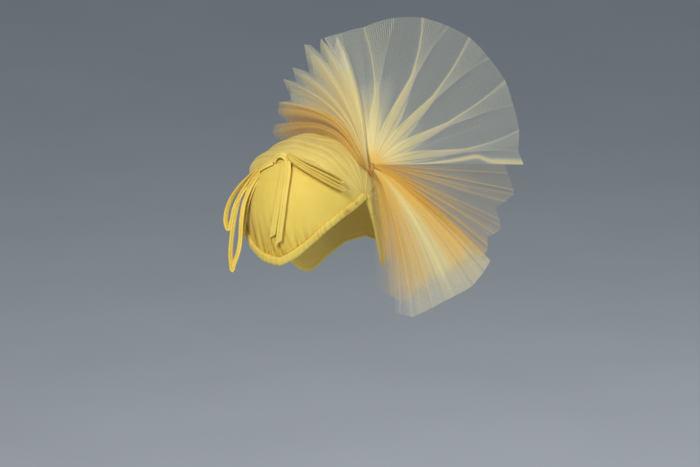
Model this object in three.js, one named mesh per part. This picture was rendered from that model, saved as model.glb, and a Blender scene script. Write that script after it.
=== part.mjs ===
// A draped cap with a ribbon bow on its front and a gathered net rosette over the left ear.
// Millimetres, +Z up. The cap's front faces -Y and the wearer's left is +X.
// The origin is the top of the cap's hollow, where the cap sits on the crown of a head.
import * as THREE from "three";

// Hollow of the cap, measured from the middle of its widest level
const hollowHalfWidth = 77.5;
const hollowHalfDepth = 103.5;
const hollowHeight = 95;
const hollowFall = 200;
const crownSquareness = 2.5;

// Ear axis: the line from ear to ear on which the drape's folds meet
const earForward = 10;
const earRise = 23;
const earTilt = 5;

// Cloth
const gap = 0.3;
const panelWall = 2;
const drapeWall = 1.8;
const pleatDepth = 2.2;
const pleatCount = 17;
const frontRollHeight = 8;
const frontRollDepth = 5;
const sideRollHeight = 5.5;
const sideRollDepth = 4.4;
const ribbonWidth = 8;
const ribbonWall = 1.2;
const loopDrop = 114;
const tailSteps = 16;
const sideLoopStart = 12.5;
const sideLoopLength = 57;
const sideLoopSteps = 22;

// Net rosette
const rosetteReach = 190;
const rosetteTurn = 33;
const rosetteTilt = 14;
const hubHeight = 13;
const hubRadius = 6.5;
const netWall = 1;
const netStart = 7.2;
const netSpacing = 0.8;
const crestHeight = 7;

// Edge of the cap on either side of the middle, in degrees. A row per section:
// across is the angle from the middle to the ear, front is the lower edge under the panel,
// seam is where the panel meets the drape, back is the drape's far edge.
const edgeRows = [
  { across: 0, front: -36.6, seam: 40, back: 213.5 },
  { across: 12, front: -34.2, seam: 38, back: 218 },
  { across: 19.5, front: -32.2, seam: 36.5, back: 227 },
  { across: 26, front: -30.4, seam: 35.5, back: 239 },
  { across: 42, front: -25.5, seam: 33, back: 244.5 },
  { across: 62, front: -22, seam: 28, back: 246 },
  { across: 78, front: -22, seam: 24, back: 247 },
  { across: 90, front: -22, seam: 22, back: 247 },
];

// Folds of the net, a row per fold. angle is its direction in the rosette's face, anticlockwise
// from the wearer's left, and reach a share of rosetteReach. lean is the slope towards the front
// that its rim ends at, crest a share of crestHeight, arch how far it bows sideways and
// hump how far it bows to the front, both as shares of its own reach.
const upperFanRows = [
  { angle: -0.5, reach: 0.95, lean: 1, crest: 0.5, arch: 0, hump: 0 },
  { angle: 5, reach: 0.92, lean: -3, crest: 1.5, arch: 0, hump: 0 },
  { angle: 13, reach: 0.95, lean: -6, crest: 1, arch: 0, hump: 0 },
  { angle: 24, reach: 0.97, lean: -8, crest: 1.1, arch: 0, hump: 0 },
  { angle: 33, reach: 1, lean: -10, crest: 0.9, arch: 0, hump: 0 },
  { angle: 44, reach: 1.01, lean: -11, crest: 1.2, arch: 0, hump: 0 },
  { angle: 54, reach: 1.03, lean: -12, crest: 1, arch: 0, hump: 0 },
  { angle: 63, reach: 1.02, lean: -13, crest: 1.2, arch: 0, hump: 0 },
  { angle: 73, reach: 1.01, lean: -14, crest: 1, arch: 0, hump: 0 },
  { angle: 84, reach: 0.97, lean: -15, crest: 1.3, arch: 0, hump: 0 },
  { angle: 96, reach: 0.91, lean: -17, crest: 1.1, arch: 0, hump: 0 },
  { angle: 106, reach: 0.9, lean: -19, crest: 1, arch: 0.01, hump: 0 },
  { angle: 113, reach: 0.91, lean: -21, crest: 0.6, arch: 0.02, hump: 0 },
];
const leftFanRows = [
  { angle: 111, reach: 0.89, lean: -8, crest: 0.8, arch: 0.03, hump: 0.02 },
  { angle: 116, reach: 0.84, lean: -11, crest: 1.1, arch: 0.03, hump: 0.03 },
  { angle: 121, reach: 0.92, lean: -15, crest: 0.9, arch: 0.04, hump: 0.04 },
  { angle: 127, reach: 0.81, lean: -19, crest: 1.2, arch: 0.06, hump: 0.05 },
  { angle: 133, reach: 0.82, lean: -23, crest: 1, arch: 0.08, hump: 0.06 },
  { angle: 139, reach: 0.77, lean: -28, crest: 1.2, arch: 0.1, hump: 0.08 },
  { angle: 145, reach: 0.77, lean: -33, crest: 0.8, arch: 0.12, hump: 0.1 },
];
const leftLoopRows = [
  { angle: 147.5, reach: 0.74, lean: -36, crest: 0.8, arch: 0.13, hump: 0.11 },
  { angle: 151.5, reach: 0.72, lean: -37, crest: 1.2, arch: 0.14, hump: 0.12 },
  { angle: 155.5, reach: 0.67, lean: -38, crest: 1, arch: 0.15, hump: 0.13 },
  { angle: 160, reach: 0.7, lean: -39, crest: 1.2, arch: 0.17, hump: 0.14 },
  { angle: 164, reach: 0.66, lean: -40, crest: 0.7, arch: 0.18, hump: 0.15 },
];
const orangeFanRows = [
  { angle: -41, reach: 0.91, lean: 8, crest: 0.8, arch: 0.02, hump: 0.02 },
  { angle: -37, reach: 0.91, lean: 7, crest: 1.2, arch: 0.02, hump: 0.02 },
  { angle: -33, reach: 0.86, lean: 8, crest: 0.9, arch: 0.02, hump: 0.02 },
  { angle: -28, reach: 0.91, lean: 7, crest: 1.2, arch: 0.01, hump: 0.02 },
  { angle: -21, reach: 0.82, lean: 8, crest: 1, arch: 0.01, hump: 0.02 },
  { angle: -14, reach: 0.91, lean: 7, crest: 1.3, arch: 0, hump: 0.02 },
  { angle: -8, reach: 0.86, lean: 7, crest: 1, arch: -0.01, hump: 0.02 },
  { angle: -3, reach: 0.82, lean: 7, crest: 0.7, arch: -0.01, hump: 0.01 },
];
const lowerFanRows = [
  { angle: -82, reach: 0.98, lean: 6, crest: 0.8, arch: 0.04, hump: 0.05 },
  { angle: -76, reach: 1.03, lean: 6, crest: 1.2, arch: 0.04, hump: 0.05 },
  { angle: -70, reach: 1.01, lean: 6, crest: 0.9, arch: 0.04, hump: 0.04 },
  { angle: -65, reach: 1, lean: 6, crest: 1.3, arch: 0.04, hump: 0.04 },
  { angle: -60, reach: 1, lean: 6, crest: 1, arch: 0.04, hump: 0.03 },
  { angle: -54, reach: 1.01, lean: 6, crest: 1.2, arch: 0.03, hump: 0.03 },
  { angle: -48, reach: 0.99, lean: 6, crest: 1, arch: 0.03, hump: 0.02 },
  { angle: -43, reach: 0.97, lean: 6, crest: 0.7, arch: 0.03, hump: 0.02 },
];
const sideFanRows = [
  { angle: -99, reach: 0.8, lean: 9, crest: 0.5, arch: 0, hump: 0.11 },
  { angle: -94, reach: 0.86, lean: 9, crest: 0.8, arch: 0.01, hump: 0.09 },
  { angle: -89, reach: 0.92, lean: 8, crest: 0.7, arch: 0.02, hump: 0.07 },
  { angle: -84, reach: 0.92, lean: 7, crest: 0.9, arch: 0.03, hump: 0.05 },
];

const degree = Math.PI / 180;
const earAxisMiddle = new THREE.Vector3(0, -earForward, earRise);
const rosetteFace = new THREE.Vector3(
  Math.sin(rosetteTurn * degree) * Math.cos(rosetteTilt * degree),
  -Math.cos(rosetteTurn * degree) * Math.cos(rosetteTilt * degree),
  Math.sin(rosetteTilt * degree),
);
const rosetteRight = new THREE.Vector3(Math.cos(rosetteTurn * degree), Math.sin(rosetteTurn * degree), 0);
const rosetteUp = new THREE.Vector3().crossVectors(rosetteFace, rosetteRight);

// A smooth curve through one column of a table, as a function of another
function readTable(rows, key, column, value) {
  const last = rows.length - 1;
  const slopeAt = (i) => {
    const before = rows[Math.max(i - 1, 0)];
    const after = rows[Math.min(i + 1, last)];
    return (after[column] - before[column]) / (after[key] - before[key]);
  };
  let i = 0;
  while (i < last - 1 && value > rows[i + 1][key]) {
    i += 1;
  }
  const width = rows[i + 1][key] - rows[i][key];
  const t = THREE.MathUtils.clamp((value - rows[i][key]) / width, 0, 1);
  const ease = t * t * (3 - 2 * t);
  const start = rows[i][column] * (1 - ease) + rows[i + 1][column] * ease;
  const bend = slopeAt(i) * t * (1 - t) * (1 - t) - slopeAt(i + 1) * t * t * (1 - t);
  return start + bend * width;
}

// How far out a point lies: 1 on the hollow grown by lift, less inside it
function capLevel(point, lift) {
  const flat = (point.x / (hollowHalfWidth + lift)) ** 2 + (point.y / (hollowHalfDepth + lift)) ** 2;
  if (point.z < 0) {
    return flat + (point.z / (hollowFall + lift)) ** 2;
  }
  return flat ** (crownSquareness / 2) + (point.z / (hollowHeight + lift)) ** crownSquareness;
}

// Point of the cap seen from the ear axis: across is 90 at the left ear and -90 at the right,
// around is 0 to the front, 90 up and 180 to the back
function capPoint(across, around, lift) {
  const flat = new THREE.Vector3(
    Math.sin(across * degree),
    -Math.cos(across * degree) * Math.cos(around * degree),
    Math.cos(across * degree) * Math.sin(around * degree),
  );
  const direction = flat.applyAxisAngle(new THREE.Vector3(0, 1, 0), -earTilt * degree);
  let near = 0;
  let far = 3 * hollowHalfDepth;
  for (let step = 0; step < 40; step += 1) {
    const middle = (near + far) / 2;
    const probe = earAxisMiddle.clone().addScaledVector(direction, middle);
    if (capLevel(probe, lift) < 1) {
      near = middle;
    } else {
      far = middle;
    }
  }
  return earAxisMiddle.clone().addScaledVector(direction, near);
}

// Angle around the ear axis that a distance along the cap takes up at this place
function aroundFor(distance, across, around) {
  const reach = capPoint(across, around, 0).distanceTo(earAxisMiddle) * Math.cos(across * degree);
  return Math.asin(Math.min(distance / reach, 1)) / degree;
}

// Edge angle at a place, moved inwards over the cloth by a distance square to the edge
function edgeAngle(column, across, distance) {
  const angle = readTable(edgeRows, "across", column, Math.abs(across));
  if (distance === 0) {
    return angle;
  }
  const here = Math.abs(across);
  const step = 0.5;
  const next = readTable(edgeRows, "across", column, here + step);
  const rise = next - angle;
  const slope = (rise / step) * Math.cos(across * degree);
  return angle + Math.sign(distance) * aroundFor(Math.abs(distance) * Math.hypot(1, slope), across, angle);
}

// A closed solid between two grids of points, the outer one facing out
function shellBetween(outer, inner) {
  const rows = outer.length;
  const columns = outer[0].length;
  const points = [...outer.flat(), ...inner.flat()];
  const position = new Float32Array(points.length * 3);
  points.forEach((point, i) => point.toArray(position, i * 3));
  const size = rows * columns;
  const index = [];
  const quad = (a, b, c, d) => index.push(a, b, c, a, c, d);
  for (let i = 0; i < rows - 1; i += 1) {
    for (let j = 0; j < columns - 1; j += 1) {
      const a = i * columns + j;
      quad(a, a + 1, a + columns + 1, a + columns);
      quad(size + a, size + a + columns, size + a + columns + 1, size + a + 1);
    }
  }
  for (let j = 0; j < columns - 1; j += 1) {
    const top = (rows - 1) * columns + j;
    quad(j, size + j, size + j + 1, j + 1);
    quad(top, top + 1, size + top + 1, size + top);
  }
  for (let i = 0; i < rows - 1; i += 1) {
    const left = i * columns;
    const right = left + columns - 1;
    quad(left, left + columns, size + left + columns, size + left);
    quad(right, size + right, size + right + columns, right + columns);
  }
  const geometry = new THREE.BufferGeometry();
  geometry.setAttribute("position", new THREE.BufferAttribute(position, 3));
  geometry.setIndex(index);
  return facingOut(geometry);
}

// Turns every triangle round if the solid's volume comes out negative
function facingOut(geometry) {
  const position = geometry.getAttribute("position");
  const index = geometry.getIndex();
  const corner = (i) => new THREE.Vector3().fromBufferAttribute(position, index.getX(i));
  let volume = 0;
  for (let i = 0; i < index.count; i += 3) {
    volume += corner(i).dot(corner(i + 1).cross(corner(i + 2)));
  }
  if (volume < 0) {
    for (let i = 0; i < index.count; i += 3) {
      const second = index.getX(i + 1);
      index.setX(i + 1, index.getX(i + 2));
      index.setX(i + 2, second);
    }
  }
  geometry.computeVertexNormals();
  return geometry;
}

// A solid of one cross-section carried along a path of frames, with flat ends
function sweep(frames, section) {
  const rings = frames.map((frame) => section.map(([wide, high]) => (
    frame.point.clone().addScaledVector(frame.wide, wide).addScaledVector(frame.high, high)
  )));
  const sides = section.length;
  const index = [];
  for (let i = 0; i < rings.length - 1; i += 1) {
    for (let j = 0; j < sides; j += 1) {
      const a = i * sides + j;
      const b = i * sides + ((j + 1) % sides);
      index.push(a, b, b + sides, a, b + sides, a + sides);
    }
  }
  const end = (rings.length - 1) * sides;
  for (let j = 1; j < sides - 1; j += 1) {
    index.push(0, j + 1, j);
    index.push(end, end + j, end + j + 1);
  }
  const position = new Float32Array(rings.flat().length * 3);
  rings.flat().forEach((point, i) => point.toArray(position, i * 3));
  const geometry = new THREE.BufferGeometry();
  geometry.setAttribute("position", new THREE.BufferAttribute(position, 3));
  geometry.setIndex(index);
  return facingOut(geometry);
}

// Frames along a path of points: wide lies across the band, high out of its face
function framesAlong(points, outOf) {
  return points.map((point, i) => {
    const before = points[Math.max(i - 1, 0)];
    const after = points[Math.min(i + 1, points.length - 1)];
    const along = after.clone().sub(before).normalize();
    const wide = along.clone().cross(outOf(i)).normalize();
    return { point, wide, high: wide.clone().cross(along).normalize() };
  });
}

function mesh(name, geometry, colour, roughness) {
  const material = new THREE.MeshStandardMaterial({ color: colour, roughness, metalness: 0 });
  const piece = new THREE.Mesh(geometry, material);
  piece.name = name;
  return piece;
}

const evenly = (count, from, to) => (
  Array.from({ length: count + 1 }, (_, i) => from + ((to - from) * i) / count)
);

// Rings of the cap from the middle to the left ear: even sections, closer round the point
// behind the ear, and three that turn the corner where the two edge rolls meet
const earReach = capPoint(90, 0, 0).distanceTo(earAxisMiddle);
const ringAt = (radius) => Math.acos(radius / earReach) / degree;
const frontRings = [9, 17.5, 26, 34.5, 43, 51.5, 60, 68.5, 76.5];
const backRings = [9, 14, 18, 22, 26, 31, 38, 48, 62, 76.5];
const cornerRings = [frontRollHeight + 4 * gap, sideRollHeight + 2 * gap, 3].map(ringAt);
const bothSides = (rings) => [...rings.map((ring) => -ring).reverse(), 0, ...rings];

// Angle of the small gap between two pieces at a ring
function gapAngle(across) {
  const radius = earReach * Math.cos(across * degree);
  return (2 * gap) / radius / degree;
}

// Front panel: smooth cloth from the lower edge roll up to the drape
function frontPanel() {
  const grid = (lift) => bothSides(frontRings).map((across) => {
    const low = edgeAngle("front", across, frontRollHeight) + gapAngle(across);
    const high = edgeAngle("seam", across, 0) - gapAngle(across);
    return evenly(9, low, high).map((around) => capPoint(across, around, lift));
  });
  return shellBetween(grid(panelWall), grid(0));
}

// Height of a pleat of the drape: a row of rounded folds with sharp valleys
function pleatLift(share, across) {
  const phase = (share * pleatCount) % 1;
  return ridgeHeight(across) * Math.sin(Math.PI * phase ** 0.8);
}

// Height of a pleat's ridge, which falls away towards the ears
function ridgeHeight(across) {
  return pleatDepth * Math.cos(across * degree) ** 0.6;
}

// Drape: pleated cloth over the crown from ear to ear, down to the two points behind the ears
function crownDrape() {
  const shares = evenly(pleatCount * 3, 0, 1);
  const grid = (lift) => bothSides([...backRings, ...cornerRings]).map((across) => {
    const seam = Math.max(
      edgeAngle("seam", across, 0),
      edgeAngle("front", across, frontRollHeight) + gapAngle(across),
    );
    const low = edgeAngle("back", across, -sideRollHeight) - gapAngle(across);
    return shares.map((share) => capPoint(across, seam + (low - seam) * share, lift(share, across)));
  });
  const outer = grid((share, across) => drapeWall + pleatLift(share, across));
  return shellBetween(outer, grid(() => 0));
}

// Edge roll: a padded roll of cloth along the cap's edge, its outer side on the edge line.
// inward is 1 where the cloth lies above the edge line around the ear axis, -1 where below.
function edgeRoll(column, rings, inward, height, depth) {
  const lift = depth / 2 - gap;
  const path = bothSides([...rings, ...cornerRings]).map((across) => {
    const edge = capPoint(across, edgeAngle(column, across, 0), lift);
    const inside = capPoint(across, edgeAngle(column, across, inward * height), lift);
    const wide = inside.clone().sub(edge).divideScalar(2);
    const middle = edge.clone().add(inside).divideScalar(2);
    const high = middle.clone().sub(earAxisMiddle).projectOnPlane(wide.clone().normalize());
    return { point: middle, wide, high: high.normalize() };
  });
  const sides = 8;
  const section = Array.from({ length: sides }, (_, i) => {
    const angle = ((i + 0.5) / sides) * 2 * Math.PI;
    return [Math.cos(angle) / Math.cos(Math.PI / sides), (depth / 2) * Math.sin(angle)];
  });
  return sweep(path, section);
}

// Places in the rosette's face, measured from a starting point
function facePlace(start, right, up, toward) {
  return start.clone()
    .addScaledVector(rosetteRight, right)
    .addScaledVector(rosetteUp, up)
    .addScaledVector(rosetteFace, toward);
}

const ribbonSection = [
  [-ribbonWidth / 2, -ribbonWall / 2],
  [ribbonWidth / 2, -ribbonWall / 2],
  [ribbonWidth / 2, ribbonWall / 2],
  [-ribbonWidth / 2, ribbonWall / 2],
];

// Ribbon places on the cap: side is across in degrees, above a distance from the seam in
// millimetres towards the crown, lift the height of the ribbon's middle over the hollow
function seamPlace({ side, above, lift }) {
  return capPoint(side, edgeAngle("seam", side, above), lift);
}

// A strip of ribbon lying flat along a list of places
function layingStrip(places, steps) {
  const curve = new THREE.CatmullRomCurve3(places.map(seamPlace));
  const path = curve.getPoints(steps);
  return sweep(framesAlong(path, (i) => path[i].clone().sub(earAxisMiddle)), ribbonSection);
}

// A loop of ribbon on edge along the seam: out from the bow, round its folded end and back. Its
// rows tell how far above the seam its far and near legs run, as shares of ribbonWidth.
function seamLoop(rows, length) {
  const lift = drapeWall + pleatDepth + 2 * gap + ribbonWidth / 2;
  const place = (row, above) => seamPlace({
    side: sideLoopStart + (length * row.along) / (earReach * degree),
    above: above * ribbonWidth,
    lift,
  });
  const last = rows[rows.length - 1];
  const curve = new THREE.CatmullRomCurve3([
    ...rows.map((row) => place(row, row.far)),
    place({ along: 1 + ribbonWall / length }, (last.far + last.near) / 2),
    ...rows.map((row) => place(row, row.near)).reverse(),
  ]);
  const path = curve.getPoints(sideLoopSteps);
  const frames = framesAlong(path, (i) => path[i].clone().sub(earAxisMiddle));
  return sweep(frames.map(({ point, wide, high }) => ({ point, wide: high, high: wide })), ribbonSection);
}

// A hanging bow loop: down from the bow, round its lower end and back up
function hangingLoop(root, rows, steps) {
  const curve = new THREE.CatmullRomCurve3(rows.map((row) => (
    facePlace(root, -row.out * loopDrop, -row.down * loopDrop, row.toward * loopDrop)
  )));
  const path = curve.getPoints(steps);
  const edgeOn = rosetteFace.clone().addScaledVector(rosetteRight, -0.2).normalize();
  const frames = path.map((point, i) => {
    const before = path[Math.max(i - 1, 0)];
    const after = path[Math.min(i + 1, path.length - 1)];
    const along = after.clone().sub(before).normalize();
    const high = along.clone().cross(edgeOn).normalize();
    return { point, wide: high.clone().cross(along).normalize(), high };
  });
  return sweep(frames, ribbonSection);
}

// A fan of net: straight pleats from the hub to the rim, each with one steep and one wide side.
// Every pleat grows with the distance from the hub, as a cone does.
function netFan(rows, toward) {
  const shares = [0, 0.14, 0.3, 0.5, 0.75, 1];
  const steep = 0.22;
  const columns = rows.flatMap((row, k) => {
    const next = rows[k + 1];
    const valley = { ...row, crest: 0 };
    if (!next) {
      return [valley];
    }
    const ridge = { crest: row.crest };
    for (const name of ["angle", "reach", "lean", "arch", "hump"]) {
      ridge[name] = row[name] * (1 - steep) + next[name] * steep;
    }
    return [valley, ridge];
  });
  const grid = (side) => columns.map((column) => shares.map((share) => {
    const reach = column.reach * rosetteReach;
    const radius = netStart + (reach - netStart) * share;
    const sideways = column.arch * reach * Math.sin(Math.PI * share);
    const lean = reach * Math.tan(column.lean * degree) * share * share;
    const hump = column.hump * reach * Math.sin(Math.PI * share);
    const crest = column.crest * crestHeight * share;
    const cos = Math.cos(column.angle * degree);
    const sin = Math.sin(column.angle * degree);
    return facePlace(
      hub,
      radius * cos + sideways * Math.abs(sin),
      radius * sin + sideways * Math.abs(cos),
      toward + lean + hump + crest + (side * netWall) / 2,
    );
  }));
  return shellBetween(grid(1), grid(-1));
}

// Knot: the gathered middle of the net on its stitched stem
const hubAcross = 59;
const hubAround = 128;
const hub = capPoint(hubAcross, hubAround, hubHeight + drapeWall);
function gatherKnot() {
  const foot = ridgeHeight(hubAcross) + gap - hubHeight;
  const profile = [
    [0, foot],
    [hubRadius * 0.7, foot],
    [hubRadius * 0.55, foot * 0.7],
    [hubRadius * 0.75, -hubRadius * 0.66],
    ...evenly(6, -30, 90).map((angle) => [
      hubRadius * Math.cos(angle * degree),
      hubRadius * Math.sin(angle * degree),
    ]),
  ];
  profile[profile.length - 1][0] = 0;
  const knot = new THREE.LatheGeometry(profile.map(([x, y]) => new THREE.Vector2(x, y)), 12);
  const up = hub.clone().sub(capPoint(hubAcross, hubAround, 0)).normalize();
  knot.applyQuaternion(new THREE.Quaternion().setFromUnitVectors(new THREE.Vector3(0, 1, 0), up));
  knot.translate(hub.x, hub.y, hub.z);
  return knot;
}

// Places of the bow. side, above and lift are as in seamPlace.
const overPleats = drapeWall + pleatDepth * 0.9 + ribbonWall / 2;
const bandRows = [
  { side: -7, above: 0.8, lift: overPleats },
  { side: -12, above: -1.2, lift: overPleats },
  { side: -17, above: -2.6, lift: overPleats },
  { side: -20.5, above: -3.6, lift: overPleats },
];
const archRows = [
  { side: -6.2, above: 3, lift: overPleats },
  { side: -4, above: 6.5, lift: overPleats + ribbonWidth * 0.42 },
  { side: 0, above: 7, lift: overPleats + ribbonWidth * 0.65 },
  { side: 3, above: 6, lift: overPleats + ribbonWidth * 0.58 },
  { side: 5.6, above: 4.5, lift: overPleats + ribbonWidth * 0.42 },
];

// Side loops: along is the share of the loop's length, far and near are shares of ribbonWidth
const upperSideRows = [
  { along: 0, far: 1.34, near: 1.04 },
  { along: 0.25, far: 1.12, near: 0.7 },
  { along: 0.5, far: 1, near: 0.52 },
  { along: 0.8, far: 0.98, near: 0.46 },
  { along: 1, far: 0.84, near: 0.5 },
];
const lowerSideRows = [
  { along: 0, far: 0.72, near: 0.42 },
  { along: 0.25, far: 0.3, near: -0.14 },
  { along: 0.5, far: 0.06, near: -0.44 },
  { along: 0.8, far: 0, near: -0.54 },
  { along: 1, far: -0.06, near: -0.44 },
];

// Shares of loopDrop for the hanging loops: out is to the wearer's right, down is the drop,
// toward is to the front
const outerLoopRows = [
  { out: 0, down: -0.05, toward: 0 },
  { out: 0.1, down: 0, toward: 0 },
  { out: 0.24, down: 0.15, toward: 0 },
  { out: 0.34, down: 0.35, toward: 0 },
  { out: 0.373, down: 0.53, toward: 0 },
  { out: 0.34, down: 0.64, toward: 0 },
  { out: 0.3, down: 0.55, toward: 0 },
  { out: 0.27, down: 0.38, toward: 0 },
  { out: 0.19, down: 0.19, toward: 0 },
  { out: 0.09, down: 0.04, toward: 0 },
  { out: 0, down: -0.028, toward: 0 },
];
const pointedLoopRows = [
  { out: 0, down: -0.006, toward: 0 },
  { out: 0.08, down: 0.06, toward: 0.03 },
  { out: 0.2, down: 0.25, toward: 0.1 },
  { out: 0.274, down: 0.47, toward: 0.13 },
  { out: 0.307, down: 0.69, toward: 0.13 },
  { out: 0.318, down: 0.888, toward: 0.13 },
  { out: 0.296, down: 1.05, toward: 0.13 },
  { out: 0.25, down: 0.95, toward: 0.13 },
  { out: 0.22, down: 0.8, toward: 0.13 },
  { out: 0.208, down: 0.58, toward: 0.13 },
  { out: 0.17, down: 0.34, toward: 0.12 },
  { out: 0.07, down: 0.11, toward: 0.03 },
  { out: 0, down: 0.016, toward: 0 },
];
const innerLoopRows = [
  { out: 0, down: 0.038, toward: 0 },
  { out: 0.055, down: 0.14, toward: 0.03 },
  { out: 0.12, down: 0.33, toward: 0.05 },
  { out: 0.16, down: 0.55, toward: 0.05 },
  { out: 0.145, down: 0.72, toward: 0.05 },
  { out: 0.12, down: 0.55, toward: 0.05 },
  { out: 0.09, down: 0.35, toward: 0.05 },
  { out: 0.03, down: 0.18, toward: 0.03 },
  { out: 0, down: 0.06, toward: 0 },
];
const bowRoot = seamPlace({ side: -22, above: -3, lift: overPleats - ribbonWall / 2 + ribbonWidth / 2 });

// Tails of the bow: down is the share of the way from the seam to the front roll
const tailLift = panelWall + gap + ribbonWall / 2;
const mainTailRows = [
  { side: 7.6, down: -0.02, lift: overPleats + ribbonWall },
  { side: 10.2, down: 0.12, lift: tailLift + ribbonWall + 3 * gap },
  { side: 11.2, down: 0.27, lift: tailLift + ribbonWall + 3 * gap },
  { side: 10.2, down: 0.53, lift: tailLift + ribbonWall + 3 * gap },
  { side: 7, down: 0.76, lift: tailLift + ribbonWall + 3 * gap },
  { side: 3.8, down: 0.93, lift: tailLift + ribbonWall + 3 * gap },
];
const underTailRows = [
  { side: 0.6, down: -0.02, lift: overPleats - ribbonWall / 2 },
  { side: 5.4, down: 0.12, lift: tailLift },
  { side: 6.8, down: 0.32, lift: tailLift },
  { side: 5.6, down: 0.56, lift: tailLift },
  { side: 3.2, down: 0.76, lift: tailLift },
  { side: 1, down: 0.87, lift: tailLift },
];

// Tail of the bow: a strip that falls from the seam over the panel
function tail(rows) {
  const places = rows.map(({ side, down, lift }) => {
    const seam = edgeAngle("seam", side, 0);
    const rollTop = edgeAngle("front", side, frontRollHeight);
    return capPoint(side, seam + (rollTop - seam) * down, lift);
  });
  const path = new THREE.CatmullRomCurve3(places).getPoints(tailSteps);
  return sweep(framesAlong(path, (i) => path[i].clone().sub(earAxisMiddle)), ribbonSection);
}

const hat = new THREE.Group();
hat.position.z = -hollowHeight;
const yellow = 0xe8d064;
const pleatYellow = 0xdec972;
const ribbonYellow = 0xddc55c;
const netPale = 0xf0e6b4;
const netOrange = 0xe0b65c;

hat.add(
  mesh("front_panel", frontPanel(), yellow, 0.75),
  mesh("crown_drape", crownDrape(), pleatYellow, 0.7),
  mesh("front_edge_roll", edgeRoll("front", frontRings, 1, frontRollHeight, frontRollDepth), yellow, 0.75),
  mesh("back_edge_roll", edgeRoll("back", backRings, -1, sideRollHeight, sideRollDepth), yellow, 0.75),
  mesh("bow_band", layingStrip(bandRows, 8), ribbonYellow, 0.6),
  mesh("bow_arch", layingStrip(archRows, 10), ribbonYellow, 0.6),
  mesh("bow_loop_outer", hangingLoop(bowRoot, outerLoopRows, 30), ribbonYellow, 0.6),
  mesh("bow_loop_pointed", hangingLoop(bowRoot, pointedLoopRows, 34), ribbonYellow, 0.6),
  mesh("bow_loop_inner", hangingLoop(bowRoot, innerLoopRows, 26), ribbonYellow, 0.6),
  mesh("side_loop_upper", seamLoop(upperSideRows, sideLoopLength), ribbonYellow, 0.6),
  mesh("side_loop_lower", seamLoop(lowerSideRows, sideLoopLength * 1.08), ribbonYellow, 0.6),
  mesh("bow_tail_main", tail(mainTailRows), ribbonYellow, 0.6),
  mesh("bow_tail_under", tail(underTailRows), ribbonYellow, 0.6),
  mesh("net_fan_upper", netFan(upperFanRows, -netSpacing), netPale, 0.9),
  mesh("net_fan_left", netFan(leftFanRows, netSpacing), netPale, 0.9),
  mesh("net_loops_left", netFan(leftLoopRows, 0), netOrange, 0.9),
  mesh("net_fan_orange", netFan(orangeFanRows, netSpacing), netOrange, 0.9),
  mesh("net_fan_lower", netFan(lowerFanRows, 0), netPale, 0.9),
  mesh("net_fan_side", netFan(sideFanRows, netSpacing), netPale, 0.9),
  mesh("gather_knot", gatherKnot(), netOrange, 0.9),
);

export default hat;
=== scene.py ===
import bmesh
import bpy
import numpy as np
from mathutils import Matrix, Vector


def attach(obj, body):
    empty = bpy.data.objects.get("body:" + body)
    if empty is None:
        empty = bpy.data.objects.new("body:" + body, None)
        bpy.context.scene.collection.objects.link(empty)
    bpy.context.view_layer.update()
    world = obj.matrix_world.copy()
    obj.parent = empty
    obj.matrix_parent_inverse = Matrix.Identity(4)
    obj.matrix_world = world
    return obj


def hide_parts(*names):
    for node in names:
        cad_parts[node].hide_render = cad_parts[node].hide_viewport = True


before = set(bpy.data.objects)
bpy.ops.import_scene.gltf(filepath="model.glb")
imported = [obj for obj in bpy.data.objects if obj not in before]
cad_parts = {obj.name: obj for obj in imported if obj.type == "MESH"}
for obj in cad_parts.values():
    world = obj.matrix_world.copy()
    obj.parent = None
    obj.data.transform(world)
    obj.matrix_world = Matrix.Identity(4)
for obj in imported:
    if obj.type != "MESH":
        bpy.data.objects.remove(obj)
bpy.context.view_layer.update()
mm = 0.001
degree = np.pi / 180

# The cap's hollow, as the frame has it: half sizes from the middle of its widest level, then the
# walls and rolls that lie on it. The front tip lies tipSide degrees to the wearer's left
cap = {
    "halfWidth": 77.5 * mm, "halfDepth": 103.5 * mm, "height": 95 * mm, "fall": 200 * mm, "squareness": 2.5,
    "earForward": 10 * mm, "earRise": 23 * mm, "earTilt": 5,
    "gap": 0.3 * mm, "lining": 0.2 * mm, "panelWall": 2 * mm, "drapeWall": 1.8 * mm,
    "pleatDepth": 2.2 * mm, "pleatCount": 17, "frontRoll": 8 * mm, "backRoll": 5.5 * mm,
    "tipSide": 4, "tipReach": 30, "halvings": 32,
}

# Edge of the cap on either side of the middle, in degrees, a row per section
edgeColumns = {"across": 0, "front": 1, "seam": 2, "back": 3}
edgeRows = np.array([
    [0, -36.6, 40, 213.5],
    [12, -34.2, 38, 218],
    [19.5, -32.2, 36.5, 227],
    [26, -30.4, 35.5, 239],
    [42, -25.5, 33, 244.5],
    [62, -22, 28, 246],
    [78, -22, 24, 247],
    [90, -22, 22, 247],
])

earMiddle = np.array([0, -cap["earForward"], cap["earRise"]])
axisMiddle = earMiddle - [0, 0, cap["height"]]


# A smooth curve through one column of edgeRows: two rows eased into each other, plus their slopes.
# The front tip's shift fades as exp(-across**2)
def edgeCurve(column, across):
    x = edgeRows[:, 0]
    y = edgeRows[:, edgeColumns[column]]
    slope = np.empty(len(x))
    slope[1:-1] = (y[2:] - y[:-2]) / (x[2:] - x[:-2])
    slope[0] = (y[1] - y[0]) / (x[1] - x[0])
    slope[-1] = (y[-1] - y[-2]) / (x[-1] - x[-2])
    shift = cap["tipSide"] * np.exp(-((across / cap["tipReach"]) ** 2)) if column == "front" else 0
    here = np.abs(across - shift)
    i = np.clip(np.searchsorted(x, here) - 1, 0, len(x) - 2)
    width = x[i + 1] - x[i]
    t = np.clip((here - x[i]) / width, 0, 1)
    ease = t * t * (3 - 2 * t)
    bend = slope[i] * t * (1 - t) ** 2 - slope[i + 1] * t * t * (1 - t)
    return y[i] * (1 - ease) + y[i + 1] * ease + bend * width


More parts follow.
